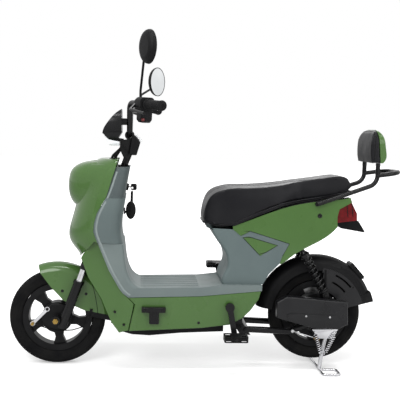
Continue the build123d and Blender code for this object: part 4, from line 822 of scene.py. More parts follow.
# %% The backrest's cover
def on_pad_back(place, normal):
    """Whether a point of the pad lies against the shell."""
    return normal.x < -0.7


soft_pad = padded_copy(nodes["backrest_pad"], "backrest_cover", 0.0036, -0.0005, 0.004, on_pad_back)
hand_over(soft_pad, "backrest_cover", leatherette, "frame", ("backrest_pad",), SOFT)

# %% [markdown]
# ## Seams and piping
# A cover is sewn from panels. A thin cord, called piping, is sewn into each seam, and it catches the light.
# It is made here as a round bar that runs through a row of points. The points are found on the finished
# cover by shooting rays at it, so the piping lies on the surface wherever the simulation left it.


# %% Helpers for cords sewn onto a surface
def bar_through(points, radius, closed=False):
    """A round bar through points: a poly curve with a bevel, turned into a mesh."""
    clear_bench()
    curve = bpy.data.curves.new("bar", "CURVE")
    curve.dimensions = "3D"
    curve.bevel_depth = radius
    curve.bevel_resolution = 2
    curve.use_fill_caps = True
    line = curve.splines.new("POLY")
    line.points.add(len(points) - 1)
    for knot, point in zip(line.points, points):
        knot.co = (*point, 1)
    line.use_cyclic_u = closed
    bar = bpy.data.objects.new("bar", curve)
    bpy.context.collection.objects.link(bar)
    on_bench(bar)
    bpy.ops.object.convert(target="MESH")
    return bpy.context.object


def smoothed(points, rounds=2):
    """Cuts the corners off an open row of points, so a bar through them bends gently."""
    for _ in range(rounds):
        finer = [points[0]]
        for here, there in zip(points, points[1:]):
            finer += [here.lerp(there, 0.25), here.lerp(there, 0.75)]
        points = finer + [points[-1]]
    return points


def on_surface(piece, start, aim, sink):
    """Where a ray from start hits the piece, moved into it by sink."""
    aim = Vector(aim).normalized()
    found, place, _, _ = piece.ray_cast(Vector(start), aim)
    return place + aim * sink if found else None


# %% Piping along the seat's upper edges
EDGE_A = [418 - 22 * n for n in range(23)]  # ahead of the rear axle
PIPING_R, PIPING_SINK = 0.0014, 0.0006
seat_piping = []
for side in (1, -1):
    row = []
    for a in EDGE_A:
        start = ahead(a, 900, side * 200)
        hit = on_surface(soft_seat, start, (0, -side * 0.72, -0.69), PIPING_SINK)
        if hit:
            row.append(hit)
    seat_piping.append(bar_through(smoothed(row), PIPING_R))
hand_over(joined(seat_piping), "seat_piping", leatherette, "seat", crease=ROUND)

# %% [markdown]
# The cover's lower edge is turned in around a bead, which hides the base plate. The bead is one closed bar
# that follows the seat's outline, with its path taken from the same two lines as the cushion's. A second one
# below it, along the sides, meets the tail panels.

# %% Bead along the seat's lower edge
BEAD_R = 4.6
BEAD_DROP = 3.0  # below the cushion's foot
SIDE_INSET, NOSE_INSET, NOSE_A = 0.6, 2.0, 440  # the bead lies deeper in from NOSE_A on
LOWER_BEAD = Vector((0, 0.0012, 0.0062))  # the second bead lies this much further in and down
LOWER_REAR, LOWER_FRONT = ahead(-100, 0), ahead(425, 0)


def mirrored(row):
    """The same row of places on the right side."""
    return [on_side(place, -1) for place in row]


bead_left = []
for a in range(474, -119, -8):
    inset = BEAD_R + (SIDE_INSET if a < NOSE_A else NOSE_INSET)
    height = along_line(SEAT_LOW, a) + CUSHION_FOOT - BEAD_DROP
    bead_left.append(ahead(a, height, along_line(SEAT_PLAN, a) - inset))
bead_row = smoothed(bead_left) + mirrored(reversed(smoothed(bead_left)))
beads = [bar_through(bead_row, BEAD_R / 1000, True)]
lower_left = [p - LOWER_BEAD for p in bead_left if LOWER_REAR.x < p.x < LOWER_FRONT.x]
for row in (lower_left, mirrored(lower_left)):
    beads.append(bar_through(smoothed(row), BEAD_R / 1000))
hand_over(joined(beads), "seat_bead", leatherette, "seat", crease=ROUND)

# %% Piping around the backrest's front
PAD_CENTRE = ahead(-200, 906, 0)
PAD_RAYS, RAY_START = 48, 0.3  # rays come in from a circle of this radius
PAD_PIPING_R = 0.0018
ring = []
for step in range(PAD_RAYS):
    turn = math.tau * step / PAD_RAYS
    start = PAD_CENTRE + Vector((0.022, RAY_START * math.cos(turn), RAY_START * math.sin(turn)))
    hit = on_surface(soft_pad, start, (-0.09, -math.cos(turn), -math.sin(turn)), PIPING_SINK)
    if hit:
        ring.append(hit)
pad_piping = bar_through(ring, PAD_PIPING_R, True)
hand_over(pad_piping, "backrest_piping", grip_rubber, "frame", crease=ROUND)

# %% [markdown]
# ## Rounded mouldings
# A moulded cover has no sharp corners, because the mould must let go of it. The CAD covers are plain prisms,
# so a copy of each gets a Bevel modifier on every edge that turns by more than a set angle. A Decimate first
# joins the small triangles of flat faces, because they would spoil the bevel.


# %% Rounding a CAD moulding
def rounded_copy(node_name, name, width):
    """A copy of a CAD piece with its sharp edges rounded."""
    piece = fresh_copy(nodes[node_name], name)
    modified(piece, "DECIMATE", decimate_type="DISSOLVE", angle_limit=math.radians(2))
    modified(piece, "BEVEL", limit_method="ANGLE", angle_limit=math.radians(40), width=width, segments=3,
             use_clamp_overlap=True)
    return piece


ROUNDED = (  # CAD node, name, finish, body, slot, width of the bevel
    ("swing_arm_covers", "swing_arm_shells", gloss_cover, "frame", "gloss_black", 0.0035),
    ("footrests", "footrest_shells", black_enamel, "frame", "black_plastic", 0.0025),
    ("headlight_cowl", "headlamp_shell", black_enamel, "steering", "gloss_black", 0.003),
)
for node_name, name, finish, body, slot, width in ROUNDED:
    hand_over(rounded_copy(node_name, name, width), name, finish, body, (node_name,))

# %% [markdown]
# ## Bolts and small hardware
# Each bolt is a turned washer with a hexagon on top. Six turning steps give the hexagon, and a small chamfer
# rounds its crown. They go where the photo shows them, on both sides.

# %% Bolts
WASHER = ((-0.6, 0), (-0.6, 7.4), (0.9, 7.4), (1.4, 6.8), (1.4, 0))
HEAD = ((1.2, 0), (1.2, 5.6), (4.2, 5.6), (5.0, 4.8), (5.0, 0))


def bolt(place, out, share=1.0):
    """A washer and a hexagon head, facing out."""
    washer = turned([(along * share, r * share) for along, r in WASHER], place, out, 24)
    head = turned([(along * share, r * share) for along, r in HEAD], place, out, 6)
    return joined([washer, head])


BOLTS = (  # name, finish, body, slot, share, places on the left side
    ("fender_bolts", black_enamel, "steering", "black_metal", 0.8,
     (behind(20.8, 302, 45.2), behind(114.1, 290.9, 44.6))),
    ("cover_bolts", bright_steel, "frame", "steel", 0.55,
     (ahead(63, 232.7, 143), ahead(-32.7, 228.4, 143))),
    ("footrest_bolts", black_enamel, "frame", "black_metal", 0.7,
     (behind(348, 254, 155.5), behind(417, 254, 155.5))),
    ("fairing_bolts", black_enamel, "frame", "black_metal", 0.7,
     (behind(232, 240, 127.0), behind(268, 190, 130.2), behind(560, 200, 132.0))),
    ("fender_screws", black_enamel, "frame", "black_metal", 0.8, (ahead(-150, 330, 46.8),)),
)
for name, finish, body, slot, share, places in BOLTS:
    row = []
    for place in places:
        for side in (1, -1):
            row.append(bolt(on_side(place, side), (0, side, 0), share))
    hand_over(joined(row), name, finish, body)

# %% [markdown]
# ## Key ring and fob
# A key hangs in the lock on the inner shield, with a strap and a remote fob below it. The ring is a wire
# through the hole in the key's head. The fob is a turned disc with a parting groove, stretched into an oval,
# with three raised buttons. It hangs beside the bag hook.

# %% Key ring
KEY_HOLE = behind(288.8, 715, 0)
RING_R, RING_WIRE, RING_STEPS = 0.011, 0.0009, 28
ring_points = []
for step in range(RING_STEPS):
    turn = math.tau * step / RING_STEPS
    ring_points.append(KEY_HOLE + RING_R * Vector((0.0, math.sin(turn), math.cos(turn) - 1)))
key_ring = bar_through(ring_points, RING_WIRE, True)
hand_over(key_ring, "key_ring", bright_steel, "frame", crease=ROUND)


# %% Strap and fob
def scale_faces(piece, wanted, **how):
    """Scales those faces that the test wants."""
    open_faces(piece, wanted)
    bpy.ops.transform.resize(**how)
    bpy.ops.object.mode_set(mode="OBJECT")


STRAP_SIZE, STRAP_CENTRE = (0.010, 0.0022, 0.044), behind(288.0, 682, 17)
STRAP_LEAN = math.radians(20)
strap = rounded_box(STRAP_SIZE, STRAP_CENTRE, 0.0008, 2, (STRAP_LEAN, 0, 0))
FOB_CENTRE = behind(285, 628, 27)
FOB = ((-6, 0), (-6, 14), (-4.6, 17.6), (-0.6, 20), (-0.6, 19), (0.6, 19), (0.6, 20), (4.6, 17.6), (6, 14),
       (6, 0))
FOB_STRETCH = 1.8
FOB_TAB = ((-1.3, 1.2), (-1.3, 4.4), (1.3, 4.4), (1.3, 1.2), (-1.3, 1.2))
FOB_BUTTON = ((-1, 0), (-1, 4.6), (1.4, 4.6), (2.0, 3.6), (2.0, 0))
BUTTON_OUT, BUTTON_LIFTS = 0.0055, (0.015, 0, -0.015)
fob = turned(FOB, FOB_CENTRE, (0, 1, 0), 40)
scale_faces(fob, lambda centre, normal: True, value=(1, 1, FOB_STRETCH), center_override=FOB_CENTRE)
tab = turned(FOB_TAB, behind(287, 665, 25), (0, 1, 0), 20)
buttons = []
for lift in BUTTON_LIFTS:
    buttons.append(turned(FOB_BUTTON, FOB_CENTRE + Vector((0, BUTTON_OUT, lift)), (0, 1, 0), 20))
hand_over(joined([fob, tab] + buttons), "key_fob", black_moulding, "frame")
hand_over(strap, "key_strap", grip_rubber, "frame")

# %% [markdown]
# ## Switches and instruments
# Buttons sit on the switch boxes under the grips' pods. Their place is written along the bar's own
# directions: out along the grip, to the rear and up. The instrument is a dark display behind a clear cover.

# %% Switches on both boxes
BAR_OUT = (BAR_END - BAR_TURN).normalized()
SWITCHES = (  # finish, slot, name, rows of: along from the bar's end, rearward, up, sizes rear, along, up
    (red_lens, "red_lens", "horn_buttons", ((-124.2, -15, -57, 12, 3, 10),)),
    (grey_moulding, "grey_plastic", "rocker_switches", (
        (-143, 22.6, -28, 4, 18, 8), (-143, 22.6, -42, 4, 18, 8), (-143, 22.6, -55, 3, 12, 7),
    )),
)
for finish, slot, name, rows in SWITCHES:
    made = []
    for side in (1, -1):
        out = on_side(BAR_OUT, side)
        rear = Vector((-out.y * side, out.x * side, 0)).normalized()
        up = Vector((0, 0, 1))
        end = on_side(BAR_END, side)
        spin = math.atan2(rear.y, rear.x)
        for along, back, lift, size_rear, size_along, size_up in rows:
            place = end + (along * out + back * rear + lift * up) / 1000
            size = (size_rear / 1000, size_along / 1000, size_up / 1000)
            made.append(rounded_box(size, place, 0.0012, 2, (0, 0, spin)))
    hand_over(joined(made), name, finish, "steering")

# %% Instrument under its clear cover
DASH_TURN = (0, math.radians(-50.6), 0)
DASH_NORMAL = Vector((-0.773, 0, 0.634))
DASH_FACE = behind(306.5, 911, 0)
DISPLAY_SIZE, DISPLAY_LIFT = (0.030, 0.098, 0.002), 0.0008
display = rounded_box(DISPLAY_SIZE, DASH_FACE + DISPLAY_LIFT * DASH_NORMAL, 0.0006, 2, DASH_TURN)
hand_over(display, "instrument_display", gloss_cover, "steering")
PILOT_LAMP, PILOT_LIFT = ((0, 0), (0, 3.6), (0.7, 3.6), (1.0, 3.0), (1.0, 0)), 0.0016
lamps = []
for y in (-36, -18, 0, 18, 36):
    place = DASH_FACE + Vector((0, y / 1000, 0)) + PILOT_LIFT * DASH_NORMAL
    lamps.append(turned(PILOT_LAMP, place, DASH_NORMAL, 20))
hand_over(joined(lamps), "instrument_lamps", red_lens, "steering")
COVER_SIZE, COVER_LIFT = (0.036, 0.108, 0.008), 0.0068
cover = rounded_box(COVER_SIZE, DASH_FACE + COVER_LIFT * DASH_NORMAL, 0.003, 4, DASH_TURN)
hand_over(cover, "instrument_cover", clear_cover, "steering")

# %% [markdown]
# ## Tail
# The red lens is divided by two black bars on each side, and a lock for the seat sits in the left tail panel.
# The lock is a turned barrel, and its keyway is a small dark bar across its face.

# %% Lamp bars
LAMP_BARS = ((-94, 672, -100.6, 622), (-113.7, 678, -120.7, 626))  # ahead, height: top, then foot
LAMP_BAR_Y = 94
LAMP_BAR_DEEP, LAMP_BAR_OUT = 0.0028, 0.0026
bars = []
for top_a, top_z, foot_a, foot_z in LAMP_BARS:
    for side in (1, -1):
        top = ahead(top_a, top_z, side * LAMP_BAR_Y)
        foot = ahead(foot_a, foot_z, side * LAMP_BAR_Y)
        lean = math.atan2(top.x - foot.x, top.z - foot.z)
        size = (LAMP_BAR_DEEP, LAMP_BAR_OUT, (top - foot).length)
        bars.append(rounded_box(size, (top + foot) / 2, 0.0008, 2, (0, lean, 0)))
hand_over(joined(bars), "lamp_bars", black_moulding, "frame")

# %% Seat lock
LOCK_BARREL = ((-1, 0), (-1, 9), (1.2, 9), (2.4, 8), (2.6, 6.6), (2.2, 6.0), (2.2, 0))
LOCK_PLACE, KEYWAY_PLACE = ahead(16.7, 628.3, 106.1), ahead(16.7, 628.3, 108.6)
KEYWAY_SIZE = (0.0016, 0.0012, 0.0075)
seat_lock = turned(LOCK_BARREL, LOCK_PLACE, (0, 1, 0), 32)
keyway = rounded_box(KEYWAY_SIZE, KEYWAY_PLACE, 0.0004, 2)
hand_over(seat_lock, "seat_lock", black_enamel, "frame")
hand_over(keyway, "seat_lock_keyway", black_moulding, "frame")

# %% [markdown]
# ## Stand springs and the rear brake's rod
# Two springs beside the left leg pull the stand up or hold it down. Their upper hooks reach a plate on
# the frame and their lower hooks the stand's leg, and each spring stays where it is made, on neither body.
# The plate is a box whose lower end is scaled to half its width. The brake rod runs along the swing arm to a
# lever under the axle, and its brass barrel is turned.

# %% Spring plate
PLATE_SIZE, PLATE_CENTRE = (0.106, 0.003, 0.038), ahead(-26, 149, 99.2)
PLATE_FOOT, PLATE_TAPER = ahead(-32, 130, 99.2), 0.5  # the lower end narrows towards this place
PLATE_LOW = 0.135  # faces below this height belong to the lower end
plate = rounded_box(PLATE_SIZE, PLATE_CENTRE, 0.0012, 2)
scale_faces(plate, lambda centre, normal: centre.z < PLATE_LOW, value=(PLATE_TAPER, 1, 1),
            center_override=PLATE_FOOT)
hand_over(plate, "stand_spring_plate", chrome, "frame")

# %% Stand springs
SPRINGS = (  # name, top on the plate, foot on the stand's leg
    ("stand_spring_front", ahead(18, 160, 109), ahead(-13, 62, 109)),
    ("stand_spring_rear", ahead(-70, 160, 109), ahead(-24, 66, 109)),
)
SPRING_R, SPRING_WIRE, SPRING_TURNS = 0.0066, 0.0019, 9
HOOK = 0.014  # length of each end that isn't wound
INWARD = Vector((0, -0.0095, 0))
for name, top, foot in SPRINGS:
    pull = (foot - top).normalized()
    wound = coil(top + HOOK * pull, foot - HOOK * pull, SPRING_R, SPRING_WIRE, SPRING_TURNS, 14)
    edge = pull.cross(Vector((0, 1, 0))) * SPRING_R
    upper_path = [top + INWARD, top, top + 0.6 * HOOK * pull, top + HOOK * pull + edge]
    lower_path = [foot - HOOK * pull + edge, foot - 0.6 * HOOK * pull, foot, foot + INWARD]
    spring = joined([wound, bar_through(upper_path, SPRING_WIRE), bar_through(lower_path, SPRING_WIRE)])
    hand_over(spring, name, chrome, None, crease=SOFT)
    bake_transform(spring)

# %% Rear brake rod, lever and barrel
ROD_FRONT = ahead(104, 157.8, 90)
ROD_REAR = ahead(-4, 125.2, 90)
ROD_EYE = ((-5.2, 0), (-5.2, 6), (-4.6, 6.6), (2.4, 6.6), (3, 6), (3, 0))
ROD_R = 0.0024
BARREL = ((70, 0), (70, 4.2), (84, 4.2), (84, 6), (85, 6.6), (95, 6.6), (96, 6), (96, 0))
ROD_NUT = ((0, 2), (0, 5.4), (7, 5.4), (9, 4.2), (9, 2), (0, 2))
LEVER_SIZE, LEVER_CENTRE, LEVER_LEAN = (0.012, 0.004, 0.044), ahead(11.2, 144, 68.6), math.radians(3)
rod_bits = [bar_through([ROD_FRONT, ROD_REAR], ROD_R), turned(ROD_EYE, ROD_FRONT, (0, 1, 0), 24)]
hand_over(joined(rod_bits), "rear_brake_rod", bright_steel, "frame")
barrel_bits = [turned(BARREL, ahead(10.7, 129.5, 0), (0, 1, 0), 24)]
barrel_bits.append(turned(ROD_NUT, ahead(1.5, 126.7, 90), ROD_REAR - ROD_FRONT, 6))
hand_over(joined(barrel_bits), "rear_brake_barrel", gold_zinc, "frame")
lever = rounded_box(LEVER_SIZE, LEVER_CENTRE, 0.0014, 2, (0, LEVER_LEAN, 0))
hand_over(lever, "rear_brake_lever", black_enamel, "frame")

# %% [markdown]
# ## Front end
# The brake arm carries a brass barrel that clamps the cable. A rubber flap closes the mudguard's rear end,
# and a lip on each side lengthens its walls. The flap is a thin box whose lower edge is scaled narrower.

# %% Front brake barrel
ARM_TIP = behind(-94, 170, 0)
ARM_BARREL = ((51.3, 0), (51.3, 7), (52.2, 7.6), (57.4, 7.6), (58.8, 6.4), (58.8, 0))
ARM_NUT = ((37.5, 0), (37.5, 6.6), (45.7, 6.6), (45.7, 0))
arm_barrel = turned(ARM_BARREL, ARM_TIP, (0, 1, 0), 6)
arm_nut = turned(ARM_NUT, ARM_TIP, (0, 1, 0), 6)
hand_over(joined([arm_barrel, arm_nut]), "brake_arm_barrel", gold_zinc, "steering")

# %% Front mud flap
FLAP_SIZE, FLAP_CENTRE, FLAP_TAPER = (0.0032, 0.076, 0.044), behind(216.2, 192, 0), 0.72
LIP_SIZE, LIP_CENTRE, LIP_SLOPE = (0.104, 0.0024, 0.020), behind(166, 203, 44.2), math.radians(-11.7)
flap = rounded_box(FLAP_SIZE, FLAP_CENTRE, 0.0014, 3)
scale_faces(flap, lambda centre, normal: normal.z < -0.9, value=(1, FLAP_TAPER, 1))
lips = [flap]
for side in (1, -1):
    lips.append(rounded_box(LIP_SIZE, on_side(LIP_CENTRE, side), 0.0008, 2, (0, LIP_SLOPE, 0)))
hand_over(joined(lips), "mud_flap", grip_rubber, "steering")

# %% [markdown]
# ## Lining and flap of the rear mudguard
# Behind the slots in the mudguard's walls lies a dark lining, a slotted skirt reaches down beside the tyre,
# and a rubber flap lengthens the rear end. All are arcs around the axle: a profile is turned all the way
# round, and the faces outside the arc are deleted. The skirt's slots are deleted faces too, and a Solidify
# modifier gives it its thickness.

# %% Rear mudguard lining
ARC_STEPS = 180
LINING_WALL = ((43.4, 184), (46.2, 184), (46.2, 226), (43.4, 226), (43.4, 184))  # out, radius
LINING_ARC = (22, 64)


def rise_of(place):
    """How far up a place lies from the rear axle's rear horizontal, in degrees around the axle."""
    return math.degrees(math.atan2(place.z - REAR.z, REAR.x - place.x))


def arc_of(profile, low, high):
    """The part of a turned ring between two angles."""
    made = turned(profile, REAR, (0, 1, 0), ARC_STEPS)

    def outside(centre, normal):
        return not low < rise_of(centre) < high

    open_faces(made, outside)
    bpy.ops.mesh.delete(type="FACE")
    outward(made, close=True)
    return made


linings = []
for side in (1, -1):
    wall = [(side * y, r) for y, r in LINING_WALL]
    linings.append(arc_of(wall, *LINING_ARC))
hand_over(joined(linings), "mudguard_lining", black_moulding, "frame")

# %% Rear mudguard skirts
SKIRT_Y, SKIRT_THICK = 48, 0.003
SKIRT_RADII = (106, 128, 146.5, 154, 178, 185.5, 197)
SKIRT_LOW, SKIRT_HIGH = 15, 84  # the arc at the rim, degrees
SKIRT_RIM, SKIRT_SLANT = 190, 0.12  # below the rim the upper end falls back by so many degrees per mm
SLOT_ROWS = ((146.5, 154), (178, 185.5))  # radii
SLOT_LOW, SLOT_HIGH = 41, 67  # degrees


def spare(centre, normal):
    """Whether a face of the skirt's ring lies in a slot or outside the arc."""
    rise = rise_of(centre)
    radius = math.hypot(centre.x - REAR.x, centre.z - REAR.z) * 1000
    slotted = SLOT_LOW < rise < SLOT_HIGH and any(low < radius < high for low, high in SLOT_ROWS)
    return slotted or not SKIRT_LOW < rise < SKIRT_HIGH - SKIRT_SLANT * max(0, SKIRT_RIM - radius)


skirts = []
for side in (1, -1):
    sheet = turned([(SKIRT_Y * side, r) for r in SKIRT_RADII], REAR, (0, 1, 0), ARC_STEPS)
    open_faces(sheet, spare)
    bpy.ops.mesh.delete(type="FACE")
    modified(sheet, "SOLIDIFY", thickness=SKIRT_THICK, offset=0)
    outward(sheet)
    skirts.append(sheet)
hand_over(joined(skirts), "mudguard_skirts", gloss_cover, "frame")

# %% Rear mud flap
FLAP_ARC = (15, 25)
FLAP_SECTION = ((-48.5, 186), (-48.5, 242), (-46.5, 244), (46.5, 244), (48.5, 242), (48.5, 186), (46.4, 186),
                (46.4, 241.6), (-46.4, 241.6), (-46.4, 186), (-48.5, 186))
rear_flap = arc_of(FLAP_SECTION, *FLAP_ARC)
hand_over(rear_flap, "rear_mud_flap", grip_rubber, "frame")

# %% [markdown]
# ## Gaskets and trim
# Where two mouldings meet, a dark rubber gasket fills the joint. Each gasket is a bar through points that
# rays find on the CAD panels, so it follows their curve. The rays come from the left, and the right side is a
# mirror image.

# %% Helpers for gaskets
GASKET_R, GASKET_SINK = 0.0011, 0.0002
GASKET_STEP = 0.008
RAY_Y = 0.5  # the rays start this far out
PANEL_Y = 0.08  # a hit further in is on the far wall


def outermost(names, aim, sink):
    """Where a ray from the left, level with aim, first meets one of the panels."""
    start = Vector((aim.x, RAY_Y, aim.z))
    hits = [on_surface(nodes[name], start, (0, -1, 0), sink) for name in names]
    return max((hit for hit in hits if hit), key=lambda hit: hit.y, default=None)


def along_panels(names, points):
    """A row of gasket points along a line."""
    row = []
    for here, there in zip(points, points[1:]):
        parts = max(2, int((there - here).length / GASKET_STEP))
        for n in range(parts):
            aim = here.lerp(there, n / parts)
            hit = outermost(names, aim, GASKET_SINK)
            if hit and hit.y > PANEL_Y:
                row.append(Vector((aim.x, hit.y, aim.z)))
    return row


def both_sides(row, radius, closed=False):
    """A bar on the left side, and its mirror image on the right."""
    return [bar_through(row, radius, closed), bar_through(mirrored(row), radius, closed)]


# %% Gaskets between the panels
INSERT_EDGE = [ahead(a, z) for a, z in ((321, 537), (298, 541), (182, 508), (250, 466), (321, 537))]
CHEVRON = [ahead(a, z) for a, z in ((161, 466), (134, 515), (293, 563), (330, 544), (360, 568))]
PILLAR_PANELS = ("pillar_inserts", "seat_pillar", "tail_panels")
insert_row = along_panels(PILLAR_PANELS, INSERT_EDGE)
chevron_row = along_panels(PILLAR_PANELS, CHEVRON)
print("gasket points: insert", len(insert_row), "chevron", len(chevron_row))
gaskets = both_sides(insert_row, GASKET_R, True) + both_sides(chevron_row, GASKET_R)
hand_over(joined(gaskets), "panel_gaskets", grip_rubber, "frame", crease=ROUND)

# %% Seals below the seat
SEAL_R = 0.0055
SEAL_LINE = ((362, 579), (237, 627), (122, 665), (42, 680), (-49, 690), (-100, 699))  # ahead, height
SEAL_PLAN = ((362, 102), (-112, 94))  # ahead, out from the middle
seal_row = smoothed([ahead(a, z, along_line(SEAL_PLAN, a)) for a, z in SEAL_LINE])
seals = joined(both_sides(seal_row, SEAL_R))
hand_over(seals, "seat_seals", grip_rubber, "frame", crease=ROUND)

# %% Gasket in the front mudguard's seam
SEAM_CENTRE = (-422, 158)  # behind the front axle, height
SEAM_R = 586
SEAM_GASKET_R = 0.0012
SEAM_SHIFT = 3  # mm, the rays meet the panel just ahead of the seam
seam_row = []
for z in range(212, 346, 6):
    b = SEAM_CENTRE[0] + math.sqrt(SEAM_R ** 2 - (z - SEAM_CENTRE[1]) ** 2)
    hit = on_surface(nodes["front_fender"], behind(b - SEAM_SHIFT, z, 300), (0, -1, 0), GASKET_SINK)
    if hit and hit.y > 0.01:
        seam_row.append(Vector((hit.x - SEAM_SHIFT / 1000, hit.y, hit.z)))
print("seam points", len(seam_row))
seam_gaskets = joined(both_sides(seam_row, SEAM_GASKET_R))
hand_over(seam_gaskets, "fender_gasket", grip_rubber, "steering", crease=ROUND)

# %% [markdown]
# Under the seat a black tray closes the body between the tail panels, and the seat's base plate has a
# stiffening rib along its middle. Both follow a bent line, so each is a chain of bevelled slabs, one for each
# straight part.

# %% Tray and rib under the seat
SLAB_LAP = 0.002  # how far neighbouring slabs run into each other


def slabs(line, breadth, thick, drop):
    """A chain of slabs along a line of (ahead, height) points, lowered by drop. All sizes are in mm."""
    chain = []
    for (front_a, front_z), (rear_a, rear_z) in zip(line, line[1:]):
        front, rear = ahead(front_a, front_z - drop), ahead(rear_a, rear_z - drop)
        lean = math.atan2(rear.z - front.z, front.x - rear.x)
        size = ((front - rear).length + SLAB_LAP, breadth / 1000, thick / 1000)
        chain.append(rounded_box(size, (front + rear) / 2, 0.0006, 2, (0, lean, 0)))
    return joined(chain)


TRAY_LINE = ((237, 627), (122, 665), (42, 680), (0, 685))
BASE_LINE = ((425, 580), (399, 579.3), (319, 603.6), (239, 642.4), (159, 668.8), (79, 682.6), (-1, 693.2))
TRAY_SLAB = (148, 3, 8)  # breadth, thickness, drop
RIB_SLAB = (3, 12, 5)
hand_over(slabs(TRAY_LINE, *TRAY_SLAB), "tail_tray", black_moulding, "frame")
hand_over(slabs(BASE_LINE, *RIB_SLAB), "seat_rib", black_moulding, "seat")

# %% [markdown]
# The floor board has low ribs along it, so that shoes don't slip. Rays from above find the board's top, and
# hits that are far from the middle height are left out.

# %% Ribs along the floor board
RIB_Y = (-88, -52, -16, 20, 56, 92)
RIB_R, RIB_SINK = 0.0016, 0.0006
RIB_REACH = 0.008  # a hit may lie this far from the middle height
ribs = []
for y in RIB_Y:
    row = [on_surface(nodes["floor_board"], behind(b, 600, y), (0, 0, -1), RIB_SINK)
           for b in range(330, 560, 12)]
    row = [place for place in row if place]
    level_z = sorted(place.z for place in row)[len(row) // 2]
    row = [place for place in row if abs(place.z - level_z) < RIB_REACH]
    ribs.append(bar_through(row, RIB_R))
    print("rib at", y, "height", round(level_z, 4), "points", len(row))
hand_over(joined(ribs), "floor_ribs", grey_moulding, "frame", crease=ROUND)

# %% [markdown]
# A paler strip caps the edge where the leg shield meets its lining, and its paleness is a painted highlight
# along that edge. It is a thicker bar, sunk most of the way into whichever panel lies furthest out.

# %% Trim strip along the leg shield, pale as a painted highlight
TRIM_LINE = ((246, 836), (237, 804), (203, 692), (169, 630), (158, 590), (156, 556), (171, 512), (216, 406),
             (256, 339), (271, 320), (292, 306))
TRIM_R, TRIM_SINK = 0.0065, 0.0050
trim_path = smoothed([behind(b, z) for b, z in TRIM_LINE])
trim_row = []
for here in trim_path[:-1]:
    hit = outermost(("inner_shield", "floor_board"), here, TRIM_SINK)
    if hit:
        trim_row.append(hit)
print("trim points", len(trim_row))
trim = joined(both_sides(trim_row, TRIM_R))
hand_over(trim, "shield_trim_painted_highlight", painted_highlight_trim, "frame", crease=ROUND)

# %% [markdown]
# ## Cheeks of the nose
# On the real shield the nose runs out into the sides without a fold at the top, and the fold deepens lower
# down. The CAD nose is a separate dome, so a filler panel closes the valley between the dome and the side. At
# each height rays measure the CAD surface, the valley's two brinks are found, and a straight line between
# them is the filler's skin. Lower down the line sinks to the CAD surface, so the fold comes back.

# %% Measuring the shield
shield = nodes["front_shield"]
CHEEK_ROWS = [812 - 5 * n for n in range(30)]  # heights
CHEEK_STEP = 2  # spacing of the rays, mm


def shield_y(b, z):
    """How far out the shield's left face is, in mm, or None where a ray passes in front of it."""
    hit = on_surface(shield, behind(b, z, 400), (0, -1, 0), 0)
    return hit.y * 1000 if hit and hit.y > 0 else None


# %% [markdown]
# A straightedge laid over the valley touches the shield on both sides of it. In numbers, that is the longest
# stretch of the row's upper hull, the line that a tight string over the points would follow.


# %% The valley's brinks
def brinks(z):
    """The two places where a straightedge laid over the valley touches the shield."""
    row = [(b, shield_y(b, z)) for b in range(20, 236, CHEEK_STEP)]
    row = [(b, y) for b, y in row if y is not None]
    hull = []
    for b, y in row:
        while len(hull) > 1:
            (b1, y1), (b2, y2) = hull[-2:]
            if (y2 - y1) * (b - b1) > (y - y1) * (b2 - b1):
                break
            hull.pop()
        hull.append((b, y))
    pairs = [(there[0] - here[0], here, there) for here, there in zip(hull, hull[1:])]
    return max(pairs)[1:] if pairs else None


heights, fronts, backs = [], [], []
for z in CHEEK_ROWS:
    pair = brinks(z)
    if pair:
        heights.append(z)
        fronts.append(pair[0][0])
        backs.append(pair[1][0])
EVEN = 4  # rows on either side that a brink is averaged with


def evened(values):
    """The values averaged with their neighbours."""
    made = []
    for n in range(len(values)):
        near_rows = values[max(0, n - EVEN):n + EVEN + 1]
        made.append(sum(near_rows) / len(near_rows))
    return made


fronts, backs = evened(fronts), evened(backs)

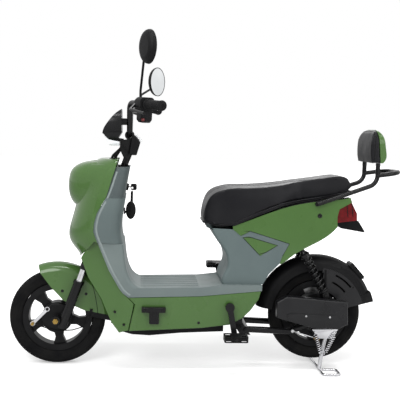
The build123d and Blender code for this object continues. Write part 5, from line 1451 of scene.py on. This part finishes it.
# %% Rows of the filler's skin
CHEEK_COLUMNS = 14
CHEEK_TOP, CHEEK_LOW = 770, 672  # the filler is full above the first height and gone at the second
CHEEK_LAP, LAP_SINK = 7, 1.0  # how far it laps onto the shield, and how deep its edge lies there
skin_rows = []
for z, front_b, back_b in zip(heights, fronts, backs):
    share = min(1.0, max(0.0, (z - CHEEK_LOW) / (CHEEK_TOP - CHEEK_LOW)))
    share = share * share * (3 - 2 * share)
    front_y, back_y = shield_y(front_b, z), shield_y(back_b, z)
    if front_y is None or back_y is None:
        continue
    row = [behind(front_b - CHEEK_LAP, z, (shield_y(front_b - CHEEK_LAP, z) or front_y) - LAP_SINK)]
    for n in range(CHEEK_COLUMNS + 1):
        part = n / CHEEK_COLUMNS
        b = front_b + (back_b - front_b) * part
        line_y = front_y + (back_y - front_y) * part
        cad_y = shield_y(b, z) or line_y
        row.append(behind(b, z, cad_y + share * (line_y - cad_y) - LAP_SINK * (1 - share)))
    row.append(behind(back_b + CHEEK_LAP, z, (shield_y(back_b + CHEEK_LAP, z) or back_y) - LAP_SINK))
    skin_rows.append(row)

# %% Making the cheeks
CHEEK_THICK = 0.002


def skin_of(rows):
    """A sheet through rows of points: a grid whose points are moved there, then thickened inward."""
    clear_bench()
    bpy.ops.mesh.primitive_grid_add(x_subdivisions=len(rows[0]) - 1, y_subdivisions=len(rows) - 1, size=1)
    sheet = bpy.context.object
    for vertex, place in zip(sheet.data.vertices, [place for row in rows for place in row]):
        vertex.co = place
    outward(sheet)
    facing = sum(face.normal.y * face.area for face in sheet.data.polygons)
    if facing * rows[0][0].y < 0:
        bpy.ops.object.mode_set(mode="EDIT")
        bpy.ops.mesh.flip_normals()
        bpy.ops.object.mode_set(mode="OBJECT")
    modified(sheet, "SOLIDIFY", thickness=CHEEK_THICK, offset=-1)
    modified(sheet, "SUBSURF", levels=1, render_levels=1)
    return sheet


cheeks = [skin_of(skin_rows), skin_of([mirrored(row) for row in skin_rows])]
hand_over(joined(cheeks), "nose_cheeks", green_panel, "frame", crease=ROUND)
